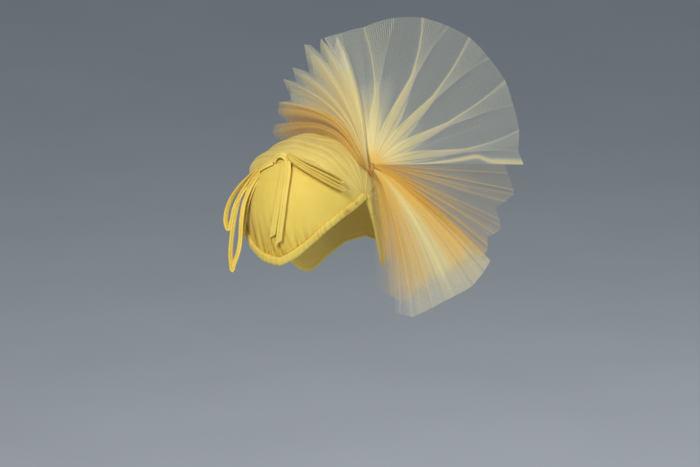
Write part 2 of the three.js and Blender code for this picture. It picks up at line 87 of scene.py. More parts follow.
# How far out a point lies: 1 on the hollow grown by lift, an ellipsoid below and squarer above
def capLevel(point, lift):
    x, y, z = point[..., 0], point[..., 1], point[..., 2]
    flat = (x / (cap["halfWidth"] + lift)) ** 2 + (y / (cap["halfDepth"] + lift)) ** 2
    n = cap["squareness"]
    upper = flat ** (n / 2) + (np.abs(z) / (cap["height"] + lift)) ** n
    lower = flat + (z / (cap["fall"] + lift)) ** 2
    return np.where(z < 0, lower, upper)


# Point of the cap along a ray from the ear axis: across is 90 at the left ear, around is 0 to the
# front, 90 up and 180 to the back, and repeated halving finds the distance where the level is 1
def capPoint(across, around, lift):
    across, around, lift = np.broadcast_arrays(across, around, lift)
    a, b = across * degree, around * degree
    x, y, z = np.sin(a), -np.cos(a) * np.cos(b), np.cos(a) * np.sin(b)
    tilt = cap["earTilt"] * degree
    ray = np.stack([x * np.cos(tilt) - z * np.sin(tilt), y, x * np.sin(tilt) + z * np.cos(tilt)], -1)
    near = np.zeros(across.shape)
    far = np.full(across.shape, 3 * cap["halfDepth"])
    for _ in range(cap["halvings"]):
        middle = (near + far) / 2
        inside = capLevel(earMiddle + ray * middle[..., None], lift) < 1
        near = np.where(inside, middle, near)
        far = np.where(inside, far, middle)
    return axisMiddle + ray * near[..., None]


earReach = float(np.linalg.norm(capPoint(90.0, 0.0, 0.0) - axisMiddle))


# Distance from the ear axis: the distance from its middle times the cosine of across
def axisRadius(across, around):
    return np.linalg.norm(capPoint(across, around, 0.0) - axisMiddle, axis=-1) * np.cos(across * degree)


# Edge angle moved inwards by a distance square to the edge: the arcsine of distance over radius
def edgeAngle(column, across, distance):
    angle = edgeCurve(column, across)
    slope = (edgeCurve(column, across + 0.5) - edgeCurve(column, across - 0.5)) * np.cos(across * degree)
    reach = np.abs(distance) * np.hypot(1, slope) / axisRadius(across, angle)
    return angle + np.sign(distance) * np.arcsin(np.minimum(reach, 1)) / degree


# A few sines of unrelated lengths, an even stand-in for random waviness between -1 and 1
def waviness(x, seed, count=5):
    rng = np.random.default_rng(seed)
    total = 0
    for k in range(count):
        phase = x * (1 + 0.63 * k) * rng.uniform(0.8, 1.2) + rng.uniform(0, 6.3)
        total = total + np.sin(phase) / (1 + 0.3 * k)
    return total / (count * 0.62)


# Mesh of one or more grids of points: quads between neighbours, UVs and point values from arrays
def gridMesh(name, grids, uvs, values=None, closed=False):
    points, quads, uvPoints, start = [], [], [], 0
    for grid, uv in zip(grids, uvs):
        rows, columns = grid.shape[:2]
        i, j = np.meshgrid(np.arange(rows - 1), np.arange(columns - 1), indexing="ij")
        a = (i * columns + j).ravel() + start
        quads.append(np.stack([a, a + 1, a + columns + 1, a + columns], -1))
        points.append(grid.reshape(-1, 3))
        uvPoints.append(uv.reshape(-1, 2))
        start += rows * columns
    if closed:
        quads[1] = quads[1][:, ::-1]
        rows, columns = grids[0].shape[:2]
        size = rows * columns
        edge = np.concatenate([
            np.arange(columns),
            np.arange(1, rows) * columns + columns - 1,
            (rows - 1) * columns + np.arange(columns - 2, -1, -1),
            np.arange(rows - 2, 0, -1) * columns,
        ])
        after = np.roll(edge, -1)
        quads.append(np.stack([after, edge, edge + size, after + size], -1))
    return makeMesh(name, np.concatenate(points), np.concatenate(quads), np.concatenate(uvPoints), values)


# Object of smooth quads from arrays, with a UV map called cloth and a value per point for each name
def makeMesh(name, points, quads, uvPoints, values=None):
    mesh = bpy.data.meshes.new(name)
    mesh.vertices.add(len(points))
    mesh.vertices.foreach_set("co", points.astype(np.float32).ravel())
    mesh.loops.add(quads.size)
    mesh.loops.foreach_set("vertex_index", quads.astype(np.int32).ravel())
    mesh.polygons.add(len(quads))
    mesh.polygons.foreach_set("loop_start", np.arange(0, quads.size, 4, dtype=np.int32))
    mesh.polygons.foreach_set("use_smooth", np.ones(len(quads), bool))
    mesh.update(calc_edges=True)
    layer = mesh.uv_layers.new(name="cloth")
    layer.data.foreach_set("uv", uvPoints[quads.ravel()].astype(np.float32).ravel())
    for key, array in (values or {}).items():
        attribute = mesh.attributes.new(key, "FLOAT", "POINT")
        attribute.data.foreach_set("value", np.asarray(array, np.float32).ravel())
    piece = bpy.data.objects.new(name, mesh)
    bpy.context.scene.collection.objects.link(piece)
    return piece


# Turns a closed piece's faces outwards where its volume, summed over its faces, is negative
def faceOut(piece):
    mesh = piece.data
    points = np.empty(len(mesh.vertices) * 3, np.float32)
    mesh.vertices.foreach_get("co", points)
    points = points.reshape(-1, 3).astype(float)
    mesh.calc_loop_triangles()
    index = np.empty(len(mesh.loop_triangles) * 3, np.int32)
    mesh.loop_triangles.foreach_get("vertices", index)
    a, b, c = (points[index.reshape(-1, 3)[:, k]] for k in range(3))
    if (a * np.cross(b, c)).sum() < 0:
        mesh.flip_normals()


# Length along each line of a grid up to each of its points: the sum of the steps before it
def arcLengths(grid, axis):
    step = np.linalg.norm(np.diff(grid, axis=axis), axis=-1)
    total = np.cumsum(step, axis=axis)
    zero = np.zeros_like(np.take(total, [0], axis=axis))
    return np.concatenate([zero, total], axis=axis)


# Vectors made one unit long
def unit(vectors):
    return vectors / np.linalg.norm(vectors, axis=-1, keepdims=True)


# Feeds a node's inputs: another node's socket is linked, a plain value is set
def feed(tree, made, inputs):
    for key, value in inputs.items():
        if isinstance(value, bpy.types.NodeSocket):
            tree.links.new(value, made.inputs[key])
        else:
            made.inputs[key].default_value = value


# A new shader node with its settings and inputs
def node(tree, kind, inputs=None, **settings):
    made = tree.nodes.new(kind)
    for key, value in settings.items():
        setattr(made, key, value)
    feed(tree, made, inputs or {})
    return made


# One operation on two values
def mathNode(tree, operation, a, b, clamp=False):
    return node(tree, "ShaderNodeMath", {0: a, 1: b}, operation=operation, use_clamp=clamp).outputs[0]


# Two colours mixed: a * (1 - factor) + b * factor
def mixColour(tree, factor, a, b):
    return node(tree, "ShaderNodeMix", {0: factor, 6: a, 7: b}, data_type="RGBA").outputs[2]


# A value carried straight from one range to another: stops are its two ends before and after
def ramp(tree, value, stops):
    ends = dict(zip(("From Min", "From Max", "To Min", "To Max"), stops))
    return node(tree, "ShaderNodeMapRange", {"Value": value, **ends}).outputs[0]


# Soft noise of a scale and a detail
def clouds(tree, place, scale, detail):
    inputs = {"Vector": place, "Scale": scale, "Detail": detail}
    return node(tree, "ShaderNodeTexNoise", inputs).outputs["Fac"]


# Even bands a pitch apart: the wave texture's scale is a full turn over 20 pitches
def bands(tree, uv, pitch, way, wobble=0.0):
    inputs = {"Vector": uv, "Scale": 2 * np.pi / (20 * pitch), "Distortion": wobble}
    return node(tree, "ShaderNodeTexWave", inputs, bands_direction=way, wave_profile="SIN").outputs["Fac"]


# A value that the mesh carries at its points
def carried(tree, name):
    return node(tree, "ShaderNodeAttribute", attribute_name=name).outputs["Fac"]


# Linear colour of an sRGB colour given from 0 to 255
def colour(red, green, blue):
    c = np.array([red, green, blue]) / 255
    linear = np.where(c <= 0.04045, c / 12.92, ((c + 0.055) / 1.055) ** 2.4)
    return (*linear.tolist(), 1.0)


# A new material, its node tree and its shader
def newMaterial(name):
    material = bpy.data.materials.new(name)
    material.use_nodes = True
    tree = material.node_tree
    return material, tree, tree.nodes["Principled BSDF"]


# Woven cloth: two crossed sets of threads in the piece's UV map, soft blotches of colour, painted shade
# in valleys by a value that the piece carries at its points, and stains that fade at a ragged distance
def clothMaterial(name, look):
    material, tree, shader = newMaterial(name)
    uv = node(tree, "ShaderNodeUVMap", uv_map="cloth").outputs[0]
    place = node(tree, "ShaderNodeTexCoord").outputs["Object"]
    warp = bands(tree, uv, look["threadPitch"], "X", look["warpWobble"])
    weft = bands(tree, uv, look["threadPitch"] / look["ribRatio"], "Y", look["weftWobble"])
    blotch = clouds(tree, place, look["blotchScale"], 4.0)
    slub = clouds(tree, place, look["slubScale"], 3.0)
    threads = mathNode(tree, "MULTIPLY", warp, weft)
    tone = mixColour(tree, ramp(tree, blotch, (0.35, 0.65, 0, 1)), look["colourA"], look["colourB"])
    light = mathNode(tree, "MULTIPLY", threads, look["threadContrast"])
    tone = mixColour(tree, light, tone, look["threadColour"])
    # Painted shade: the colour darkens toward a shade colour by the value that the piece carries in its valleys
    dark = mathNode(tree, "MULTIPLY", carried(tree, "paintedShade"), look["paintedShadeStrength"], True)
    tone = mixColour(tree, dark, tone, look["paintedShadeColour"])
    for at, size, strength in look["stains"]:
        away = node(tree, "ShaderNodeVectorMath", {0: place, 1: at}, operation="DISTANCE").outputs["Value"]
        ragged = mathNode(tree, "ADD", away, mathNode(tree, "MULTIPLY", slub, size * look["stainRagged"]))
        mask = ramp(tree, ragged, (size * look["stainFull"], size * look["stainEnd"], strength, 0))
        mask = mathNode(tree, "MULTIPLY", mask, ramp(tree, slub, look["stainGrain"]))
        tone = mixColour(tree, mask, tone, look["stainColour"])
    threadRelief = mathNode(tree, "MULTIPLY", threads, look["threadRelief"])
    relief = mathNode(tree, "ADD", threadRelief, mathNode(tree, "MULTIPLY", slub, look["slubRelief"]))
    bump = node(tree, "ShaderNodeBump", {"Height": relief, "Strength": look["relief"], "Distance": 0.3 * mm})
    smooth, rough = look["roughness"] - look["roughSpread"], look["roughness"] + look["roughSpread"]
    feed(tree, shader, {
        "Base Color": tone, "Normal": bump.outputs[0],
        "Roughness": ramp(tree, slub, (0.3, 0.7, smooth, rough)),
        "Sheen Weight": look["sheen"], "Sheen Roughness": 0.4, "Sheen Tint": (1.0, 0.95, 0.75, 1.0),
        "Specular IOR Level": 0.3,
    })
    return material


# Stains, a row each: across, around, size in millimetres and strength
stainRows = {
    "panel": [(-24, 2, 1.9, 0.7)],
    "roll": [(63, -15, 5.2, 0.75), (65.6, -16.5, 3.6, 0.7), (75, -6, 3.6, 0.8)],
}


# Place, size and strength of each stain, at a height over the hollow
def stains(kind, lift):
    spots = []
    for across, around, size, strength in stainRows[kind]:
        spots.append((tuple(capPoint(across, around, lift).tolist()), size * mm, strength))
    return spots


clothLook = {
    "colourA": colour(232, 203, 92), "colourB": colour(224, 194, 80), "blotchScale": 28.0,
    "threadColour": colour(243, 221, 130), "threadContrast": 0.35, "threadPitch": 0.5 * mm, "ribRatio": 0.45,
    "warpWobble": 0.6, "weftWobble": 0.5, "slubScale": 900.0,
    # This shade colour and strength paint shade into the cloth's valleys, grooves and edges
    "paintedShadeColour": colour(168, 124, 16), "paintedShadeStrength": 0.95,
    "relief": 0.35, "threadRelief": 0.6, "slubRelief": 0.5,
    "roughness": 0.68, "roughSpread": 0.06, "sheen": 0.25,
    "stains": [], "stainColour": colour(176, 112, 58), "stainRagged": 1.6, "stainFull": 1.25, "stainEnd": 1.7,
    "stainGrain": (0.42, 0.58, 1, 0.15),
}
panelLook = dict(clothLook, stains=stains("panel", 2 * mm))
rollLook = dict(
    clothLook, colourA=colour(230, 205, 98), colourB=colour(219, 190, 82), stains=stains("roll", 5 * mm))
drapeLook = dict(
    clothLook, colourA=colour(229, 203, 108), colourB=colour(221, 190, 92),
    threadColour=colour(240, 220, 140), threadContrast=0.3,
    paintedShadeColour=colour(178, 138, 44), paintedShadeStrength=0.5,
    threadPitch=0.55 * mm, ribRatio=1.0, relief=0.4, roughness=0.72, sheen=0.35)
ribbonLook = dict(
    clothLook, colourA=colour(238, 211, 100), colourB=colour(229, 198, 84),
    paintedShadeColour=colour(150, 108, 12), paintedShadeStrength=0.8)

panelCloth = clothMaterial("panelCloth", panelLook)
rollCloth = clothMaterial("rollCloth", rollLook)
drapeCloth = clothMaterial("drapeCloth", drapeLook)
ribbonCloth = clothMaterial("ribbonCloth", ribbonLook)
print("cloth materials made")


# Prints a sheet's name with the rectangle it is cut from, grown to hold the cut where needed, and the
# cut's own area, which is the cloth's: half of the surface of a closed piece
def declareSheet(piece, flat, sides=2):
    areas = np.empty(len(piece.data.polygons), np.float32)
    piece.data.polygons.foreach_get("area", areas)
    area = float(areas.sum()) / sides
    scale = max(1.0, (area / (flat[0] * flat[1])) ** 0.5)
    flat = (flat[0] * scale, flat[1] * scale)
    print(piece.name, "flat", [round(side, 3) for side in flat], "cut", round(area, 5))


# Gives a piece its material, hangs it on the root body and hides the frame's parts that it stands for; the slot
# is not used
def finishPiece(piece, material, slot, *nodes):
    piece.data.materials.append(material)
    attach(piece, "root")
    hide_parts(*nodes)
    return piece


# Cloth with two sides: a closed mesh of an outer and an inner grid, with painted shade in the outer side's
# hollows
def clothShell(name, outer, inner, uv, paintedShade, material, slot, nodeName):
    values = {"paintedShade": np.concatenate([paintedShade.ravel(), np.zeros(paintedShade.size)])}
    piece = gridMesh(name, [outer, inner], [uv, uv], values, closed=True)
    faceOut(piece)
    return finishPiece(piece, material, slot, nodeName)


panel = {
    "reach": 80, "crowding": np.pi / 2.6, "columns": 210, "rows": 150,
    "foot": 0.6, "overlap": 1.5 * mm, "radius": 105 * mm, "thinnest": 0.4 * mm,
    "pullCount": 34, "pullFrom": -44, "pullTo": 62, "pullStray": 1.4, "pullDepth": 1.9 * mm,
    "pullMiddle": 4, "pullSpread": 34, "pullShort": 10, "pullLong": 34, "pullWiden": 30 * mm,
    "pullLean": -0.3, "pullFan": 0.006,
    "tuckSpacing": 3.6 * mm, "tuckHeight": 3.5 * mm, "tuckDepth": 0.4,
    "creaseDepth": 0.5 * mm, "creaseWidth": 2.4 * mm,
    "waveDepth": 0.4 * mm, "waveFrom": 10 * mm, "waveWide": 23 * mm, "waveTall": 37 * mm, "waveCross": 31 * mm,
    "seamDepth": 1.4 * mm, "seamWidth": 0.8 * mm,
}
# Creases on the wearer's right: side, height and length in millimetres, and slope
creaseRows = [(-43, 22, 17, 0.62), (-33, 12, 10, 0.45)]


# Front panel: cap points from the front roll up to the seam. Each pull is a groove that starts at
# the roll, -exp(-(side - line)**2) across it and exp(-height**2) along it; two long creases are
# grooves of the same form, and the lower edge puckers where it is sewn to the roll
def frontPanel():
    even = np.linspace(-1, 1, panel["columns"])[:, None]
    across = panel["reach"] * np.sin(even * panel["crowding"]) / np.sin(panel["crowding"])
    share = np.linspace(0, 1, panel["rows"])[None, :]
    low = edgeAngle("front", across, cap["frontRoll"] * panel["foot"])
    high = edgeAngle("seam", across, panel["overlap"])
    around = low + (high - low) * share
    radius = axisRadius(across, around)
    height = (around - low) * degree * radius
    toSeam = (high - around) * degree * radius
    side = across * degree * panel["radius"]
    rng = np.random.default_rng(12)
    starts = np.linspace(panel["pullFrom"], panel["pullTo"], panel["pullCount"])
    starts = starts + rng.uniform(-panel["pullStray"], panel["pullStray"], panel["pullCount"])
    pulls = np.zeros(height.shape)
    for start in starts:
        near = np.exp(-((start - panel["pullMiddle"]) / panel["pullSpread"]) ** 2)
        length = (panel["pullShort"] + panel["pullLong"] * near * rng.uniform(0.35, 1)) * mm
        lean = start * panel["pullFan"] + panel["pullLean"] + rng.uniform(-0.12, 0.12)
        width = rng.uniform(0.8, 1.5) * mm * (1 + height / panel["pullWiden"])
        depth = rng.uniform(0.45, 1) * (0.35 + 0.65 * near)
        off = side - start * mm - lean * height
        pulls = pulls - depth * np.exp(-(off / width) ** 2) * np.exp(-(height / length) ** 2)
    pucker = np.abs(np.sin(np.pi * side / panel["tuckSpacing"])) - 1
    tuck = np.exp(-height / panel["tuckHeight"]) * pucker * panel["tuckDepth"]
    crease = np.zeros(height.shape)
    for start, middle, length, slope in creaseRows:
        rise = height - middle * mm
        off = side - start * mm + slope * rise
        crease = crease - np.exp(-(off / panel["creaseWidth"]) ** 2) * np.exp(-(rise / (length * mm)) ** 2)
    wave = waviness(side / panel["waveWide"] + height / panel["waveTall"], 8)
    wave = wave * waviness(height / panel["waveCross"], 9)
    lift = (
        cap["panelWall"]
        + panel["pullDepth"] * (pulls + tuck)
        + panel["creaseDepth"] * crease
        + panel["waveDepth"] * wave * np.minimum(1, height / panel["waveFrom"])
        - panel["seamDepth"] * np.exp(-toSeam / panel["seamWidth"])
    )
    outer = capPoint(across, around, np.maximum(lift, panel["thinnest"]))
    inner = capPoint(across, around, cap["lining"])
    uv = np.stack([side + 0 * height, height], -1)
    # Painted shade in the pulls' grooves, the tucks and the creases
    paintedShade = np.clip(-(pulls + tuck) * 0.8 - crease * 0.6, 0, 1)
    piece = clothShell("frontPanelCloth", outer, inner, uv, paintedShade, panelCloth, "panel_cloth", "front_panel")
    declareSheet(piece, (0.19, 0.13))


frontPanel()
print("front panel made")

# The puff is a swelling toward the wearer's right front, where the pleats are calmer
drape = {
    "reach": 88.3, "columns": 150, "rows": 300, "widthRadius": 100 * mm, "lengthRadius": 105 * mm,
    "pleatDepth": 2.4 * mm, "fineDepth": 0.45 * mm,
    "wander": 0.3, "roundness": 0.6, "fadePower": 1.3, "valley": 0.1,
    "puff": 7.5 * mm, "puffCalm": 0.7, "puffAcross": -40, "puffAround": 44, "puffWide": 22, "puffTall": 18,
}


# Drape: rounded pleats that run from ear to ear, a low power of sin over each pleat's phase, so that
# their valleys are sharp. The phase wanders along every pleat, finer folds ride on some of them, and
# all fade to the ears as a power of the cosine of across
def crownDrape():
    across = drape["reach"] * np.sin(np.linspace(-1, 1, drape["columns"]) * np.pi / 2)[:, None]
    share = np.linspace(0, 1, drape["rows"])[None, :]
    seam = np.maximum(edgeAngle("seam", across, 0.0), edgeAngle("front", across, cap["frontRoll"] * 0.7))
    low = edgeAngle("back", across, -cap["backRoll"] * 0.6)
    around = seam + (low - seam) * share
    fade = np.cos(across * degree) ** drape["fadePower"]
    bothEnds = np.minimum(1, share * 14) * np.minimum(1, (1 - share) * 14)
    wander = waviness(across / 24 + share * 11, 21) + 0.6 * waviness(share * 23 - across / 60, 22)
    phase = share * cap["pleatCount"] + wander * drape["wander"] * bothEnds
    index = np.floor(phase)
    local = phase - index
    size = 0.62 + 0.38 * np.sin(index * 2.4 + across / 38 + 1.2)
    main = np.sin(np.pi * local ** 0.8) ** drape["roundness"]
    ridePhase = local * 2 + 0.25 * np.sin(across / 19 + index * 1.7)
    fine = np.abs(np.sin(np.pi * ridePhase)) ** drape["roundness"]
    ride = (fine - 0.6) * main * (0.5 + 0.5 * np.sin(index * 3.1))
    lift = cap["drapeWall"] + fade * (drape["pleatDepth"] * main * size + drape["fineDepth"] * ride)
    aside = (across - drape["puffAcross"]) / drape["puffWide"]
    above = (around - drape["puffAround"]) / drape["puffTall"]
    puff = np.exp(-aside**2) * np.exp(-above**2) * np.minimum(1, share * 20)
    calm = drape["puffCalm"] * puff
    lift = lift * (1 - calm) + cap["drapeWall"] * calm + drape["puff"] * puff
    outer = capPoint(across, around, lift)
    inner = capPoint(across, around, cap["lining"])
    fromSeam = (around - edgeRows[0, edgeColumns["seam"]]) * degree * drape["lengthRadius"]
    uv = np.stack([across * degree * drape["widthRadius"] + 0 * share, fromSeam], -1)
    # Painted shade in the pleats' valleys and, more faintly, in the finer folds' valleys
    valley = np.minimum(local, 1 - local)
    deep = np.exp(-(valley / drape["valley"]) ** 2) * size * np.minimum(1, 1.5 * fade**2)
    paintedShade = np.clip(deep + 0.3 * np.exp(-(fine / 0.4) ** 2) * (valley > 0.15), 0, 1)
    piece = clothShell("crownDrapeCloth", outer, inner, uv, paintedShade, drapeCloth, "pleated_cloth", "crown_drape")
    declareSheet(piece, (0.29, 0.34))


crownDrape()
print("crown drape made")

roll = {
    "reach": 88.0, "steps": 420, "sides": 28, "wide": 1.22, "squareness": 2.6,
    "frontDepth": 6.2 * mm, "backDepth": 5.4 * mm, "puckerSpacing": 6 * mm, "puckerDepth": 0.45 * mm,
    "wobble": 8 * mm, "fading": 19 * mm, "swaying": 14 * mm,
}


# Edge roll: a squared ellipse between the edge line and the cloth's edge, carried from ear to ear;
# small puckers across it come from a ridged wave of the length along it, and painted shade darkens
# the puckers' valleys and the seam to the cloth
def edgeRoll(name, column, inward, height, depth, nodeName):
    across = roll["reach"] * np.sin(np.linspace(-1, 1, roll["steps"]) * np.pi / 2)[:, None]
    edge = capPoint(across, edgeAngle(column, across, 0.0), depth / 2)[:, 0]
    inside = capPoint(across, edgeAngle(column, across, inward * height), depth / 2)[:, 0]
    middle, wide = (edge + inside) / 2, (inside - edge) / 2 * roll["wide"]
    out = middle - axisMiddle
    flatWide = unit(wide)
    high = unit(out - (out * flatWide).sum(1, keepdims=True) * flatWide)
    length = arcLengths(middle[:, None], 0)[:, 0]
    turn = np.linspace(0, 2 * np.pi, roll["sides"], endpoint=False)[None, :]
    run = length[:, None]
    along = run / roll["puckerSpacing"] + 0.5 * waviness(run / roll["wobble"], 31)
    strength = 0.5 + 0.5 * waviness(run / roll["fading"], 32)
    ridge = 1 - (1 - np.abs(np.sin(np.pi * along + 0.5 * np.sin(turn))) ** 0.5) * strength
    sway = waviness(run / roll["swaying"], 33)
    push = 1 + (ridge - 1) * roll["puckerDepth"] / (depth / 2) * 2 + 0.05 * sway
    x, y = squaredCircle(turn, roll["squareness"])
    rings = (
        middle[:, None]
        + wide[:, None] * (x * np.minimum(push, 1))[..., None]
        + high[:, None] * (y * push * depth / 2)[..., None]
    )
    # Painted shade along the seam to the cloth, in the crevice where the roll meets it
    seam = 0.35 * np.exp(-((turn - 0.12) / 0.16) ** 2)
    paintedShade = np.clip((1 - ridge) * 0.5 + seam, 0, 1)
    return sweptPiece(name, rings, paintedShade, length, height, rollCloth, "panel_cloth", nodeName)


# A circle drawn toward a square: both coordinates over (|x|**n + |y|**n)**(1/n)
def squaredCircle(angle, n):
    x, y = np.cos(angle), np.sin(angle)
    square = (np.abs(x) ** n + np.abs(y) ** n) ** (-1 / n)
    return x * square, y * square


# A closed piece from rings of points: quads round the rings and between them, a fan of quads at the ends
def sweptPiece(name, rings, paintedShade, length, girth, material, slot, nodeName):
    steps, sides = rings.shape[:2]
    ends = [ring.mean(1, keepdims=True).repeat(sides, 1) for ring in (rings[:1], rings[-1:])]
    points = np.concatenate([ends[0], rings, ends[1]])
    # The closed ends are darkened with painted shade
    endShade = np.full((1, sides), 0.6)
    shade = np.concatenate([endShade, paintedShade, endShade])
    total = steps + 2
    i, j = np.meshgrid(np.arange(total - 1), np.arange(sides), indexing="ij")
    a, b = (i * sides + j).ravel(), (i * sides + (j + 1) % sides).ravel()
    quads = np.stack([a, b, b + sides, a + sides], -1)
    run = np.concatenate([length[:1], length, length[-1:]])
    over = np.abs(np.linspace(-1, 1, sides)) * girth
    uv = np.stack(np.broadcast_arrays(run[:, None], over), -1).reshape(-1, 2)
    piece = makeMesh(name, points.reshape(-1, 3), quads, uv, {"paintedShade": shade})
    weld(piece)
    faceOut(piece)
    return finishPiece(piece, material, slot, nodeName)


# Joins the coincident points at the closed ends
def weld(piece):
    work = bmesh.new()
    work.from_mesh(piece.data)
    bmesh.ops.remove_doubles(work, verts=work.verts, dist=1e-6)
    work.to_mesh(piece.data)
    work.free()
    piece.data.polygons.foreach_set("use_smooth", np.ones(len(piece.data.polygons), bool))


frontRollPiece = edgeRoll(
    "frontEdgeRollCloth", "front", 1, cap["frontRoll"], roll["frontDepth"], "front_edge_roll")
backRollPiece = edgeRoll(
    "backEdgeRollCloth", "back", -1, cap["backRoll"], roll["backDepth"], "back_edge_roll")
print("edge rolls made")

# The rosette's face turns to the wearer's left and up. Its hub stands on the drape, and stitches
# pull the net's middle right, up and toward the viewer by the pulls, which fade by pullPower
rosette = {
    "turn": 33, "tilt": 14, "reach": 190 * mm, "start": 2.5 * mm, "crest": 7 * mm,
    "hubAcross": 59.0, "hubAround": 128.0, "hubHeight": 13 * mm,
    "pullRight": -8.4 * mm, "pullUp": -1.8 * mm, "pullToward": 2.6 * mm, "pullPower": 1.6,
    "rootPower": 4, "ringPower": 1.15, "ridgeAt": 0.22, "sweepFade": 0.15,
}
turn, tilt = rosette["turn"] * degree, rosette["tilt"] * degree
faceOutward = np.array([np.sin(turn) * np.cos(tilt), -np.cos(turn) * np.cos(tilt), np.sin(tilt)])
faceRight = np.array([np.cos(turn), np.sin(turn), 0])
faceUp = np.cross(faceOutward, faceRight)
hub = capPoint(rosette["hubAcross"], rosette["hubAround"], rosette["hubHeight"] + cap["drapeWall"])


# A place measured from a start along the face's three directions
def facePlace(start, right, up, toward):
    ways = ((right, faceRight), (up, faceUp), (toward, faceOutward))
    return start + sum(np.asarray(distance)[..., None] * way for distance, way in ways)


# Smooth path through given places: a Catmull-Rom curve sampled at even steps of length
def smoothPath(places, steps):
    p = np.asarray(places, float)
    padded = np.concatenate([2 * p[:1] - p[1:2], p, 2 * p[-1:] - p[-2:-1]])
    t = np.linspace(0, len(p) - 1, 40 * len(p))
    i = np.minimum(t.astype(int), len(p) - 2)
    f = (t - i)[:, None]
    a, b, c, d = padded[i], padded[i + 1], padded[i + 2], padded[i + 3]
    dense = 0.5 * (2 * b + (c - a) * f + (2 * a - 5 * b + 4 * c - d) * f**2 + (3 * b - a - 3 * c + d) * f**3)
    length = np.concatenate([[0], np.cumsum(np.linalg.norm(np.diff(dense, axis=0), axis=1))])
    even = np.linspace(0, length[-1], steps)
    return np.stack([np.interp(even, length, dense[:, k]) for k in range(dense.shape[1])], -1)


ribbon = {
    "width": 8 * mm, "thick": 1.9 * mm, "sides": 32, "steps": 180, "squareness": 3.2,
    "seamAt": 0.12, "seamWidth": 0.09, "seamDepth": 0.45, "crown": 0.25,
    "waves": 0.3 * mm, "waveLength": 12 * mm, "nip": 0.06, "nipLength": 17 * mm, "slantLength": 12 * mm,
}


# Ribbon: a flat tube, its section a squared ellipse as wide as the ribbon with a seam's groove along
# each face, carried along a path. The cut end slants: its last rings are pushed along the path in
# proportion to their place across the ribbon
def ribbonPiece(name, path, widthWay, nodeName, slant=0.0, thick=1.0, shade=0.0):
    along = unit(np.gradient(path, axis=0))
    high = unit(np.cross(along, widthWay))
    wide = np.cross(high, along)
    length = arcLengths(path[:, None], 0)[:, 0]
    angle = np.linspace(0, 2 * np.pi, ribbon["sides"], endpoint=False)[None, :]
    x, y = squaredCircle(angle, ribbon["squareness"])
    seam = np.exp(-((x - ribbon["seamAt"]) / ribbon["seamWidth"]) ** 2)
    crown = 1 - ribbon["crown"] * x**2 - ribbon["seamDepth"] * seam
    sway = ribbon["waves"] * waviness(length[:, None] / ribbon["waveLength"] + x, 41)
    nip = 1 + ribbon["nip"] * waviness(length / ribbon["nipLength"], 42)[:, None]
    toEnd = np.clip(1 - (length[-1] - length) / ribbon["slantLength"], 0, 1)[:, None]
    half = ribbon["width"] / 2
    rings = (
        path[:, None]
        + wide[:, None] * (x * half * nip)[..., None]
        + high[:, None] * (y * ribbon["thick"] * thick / 2 * crown + sway * x**2)[..., None]
        + along[:, None] * (toEnd**2 * slant * x * half)[..., None]
    )
    # Painted shade: in the seam's groove, along both edges and, by shade, on the inner face
    dark = 0.6 * seam + 0.6 * (np.abs(x) > 0.95) + shade * (y > 0.1)
    paintedShade = np.broadcast_to(np.clip(dark, 0, 1), rings.shape[:2])
    piece = sweptPiece(name, rings, paintedShade, length, ribbon["width"], ribbonCloth, "ribbon", nodeName)
    declareSheet(piece, (ribbon["width"] * 1.05 + ribbon["thick"], float(length[-1])))


# Places of the bow over the seam: side in degrees from the middle, above the seam in millimetres
def seamPlace(side, above, lift):
    side, above, lift = (np.asarray(v, float) for v in (side, above, lift))
    return capPoint(side, edgeAngle("seam", side, above * mm), lift * mm)


# Lifts in millimetres at which a ribbon clears the drape's pleats, and the panel
clear = 0.6
overPleats = (cap["drapeWall"] + cap["pleatDepth"] * 0.9) / mm + clear
overPanel = (cap["panelWall"] + cap["gap"]) / mm + clear
bow = {
    "band": [(-6.5, 0.8, overPleats), (-12, -1.2, overPleats), (-17, -2.6, overPleats), (-22, -3.8, overPleats)],
    "arch": [
        (-6, 1.2, overPleats), (-4.8, 3.8, overPleats + 2), (-2, 5.8, overPleats + 4.6),
        (2, 6.6, overPleats + 6.4), (5.6, 5.8, overPleats + 5.6), (8.4, 3.4, overPleats + 3.6),
    ],
    "root": (-22, -3, overPleats + 3.4),
    "loopDrop": 114 * mm, "loopTilt": 42,
    "sideStart": 12.5, "sideLength": 57 * mm, "strandTilt": 24,
}

# Hanging loops as shares of the drop: out to the wearer's right, down, and toward the front
loopRows = {
    "outer": [
        (-0.03, -0.005, 0), (0.066, 0.085, 0), (0.197, 0.217, 0), (0.296, 0.38, 0), (0.332, 0.556, 0),
        (0.305, 0.66, 0), (0.27, 0.58, 0), (0.235, 0.424, 0), (0.15, 0.249, 0), (0.045, 0.117, 0),
        (-0.03, 0.03, 0),
    ],
    "pointed": [
        (-0.03, 0.01, 0), (0.06, 0.125, 0.02), (0.172, 0.293, 0.02), (0.23, 0.5, 0.02), (0.263, 0.72, 0.03),
        (0.279, 0.93, 0.04), (0.268, 1.06, 0.04), (0.258, 1.11, 0.04), (0.244, 1.05, 0.04),
        (0.204, 0.94, 0.03),
        (0.175, 0.8, 0.02), (0.164, 0.61, 0.01), (0.135, 0.39, 0.01), (0.055, 0.19, 0.02), (-0.03, 0.05, 0),
    ],
    "inner": [
        (-0.03, 0.05, 0), (0.05, 0.16, 0.02), (0.118, 0.33, -0.04), (0.155, 0.55, -0.08), (0.15, 0.74, -0.1),
        (0.128, 0.56, -0.08), (0.095, 0.37, -0.03), (0.03, 0.2, 0.02), (-0.03, 0.08, 0),
    ],
}
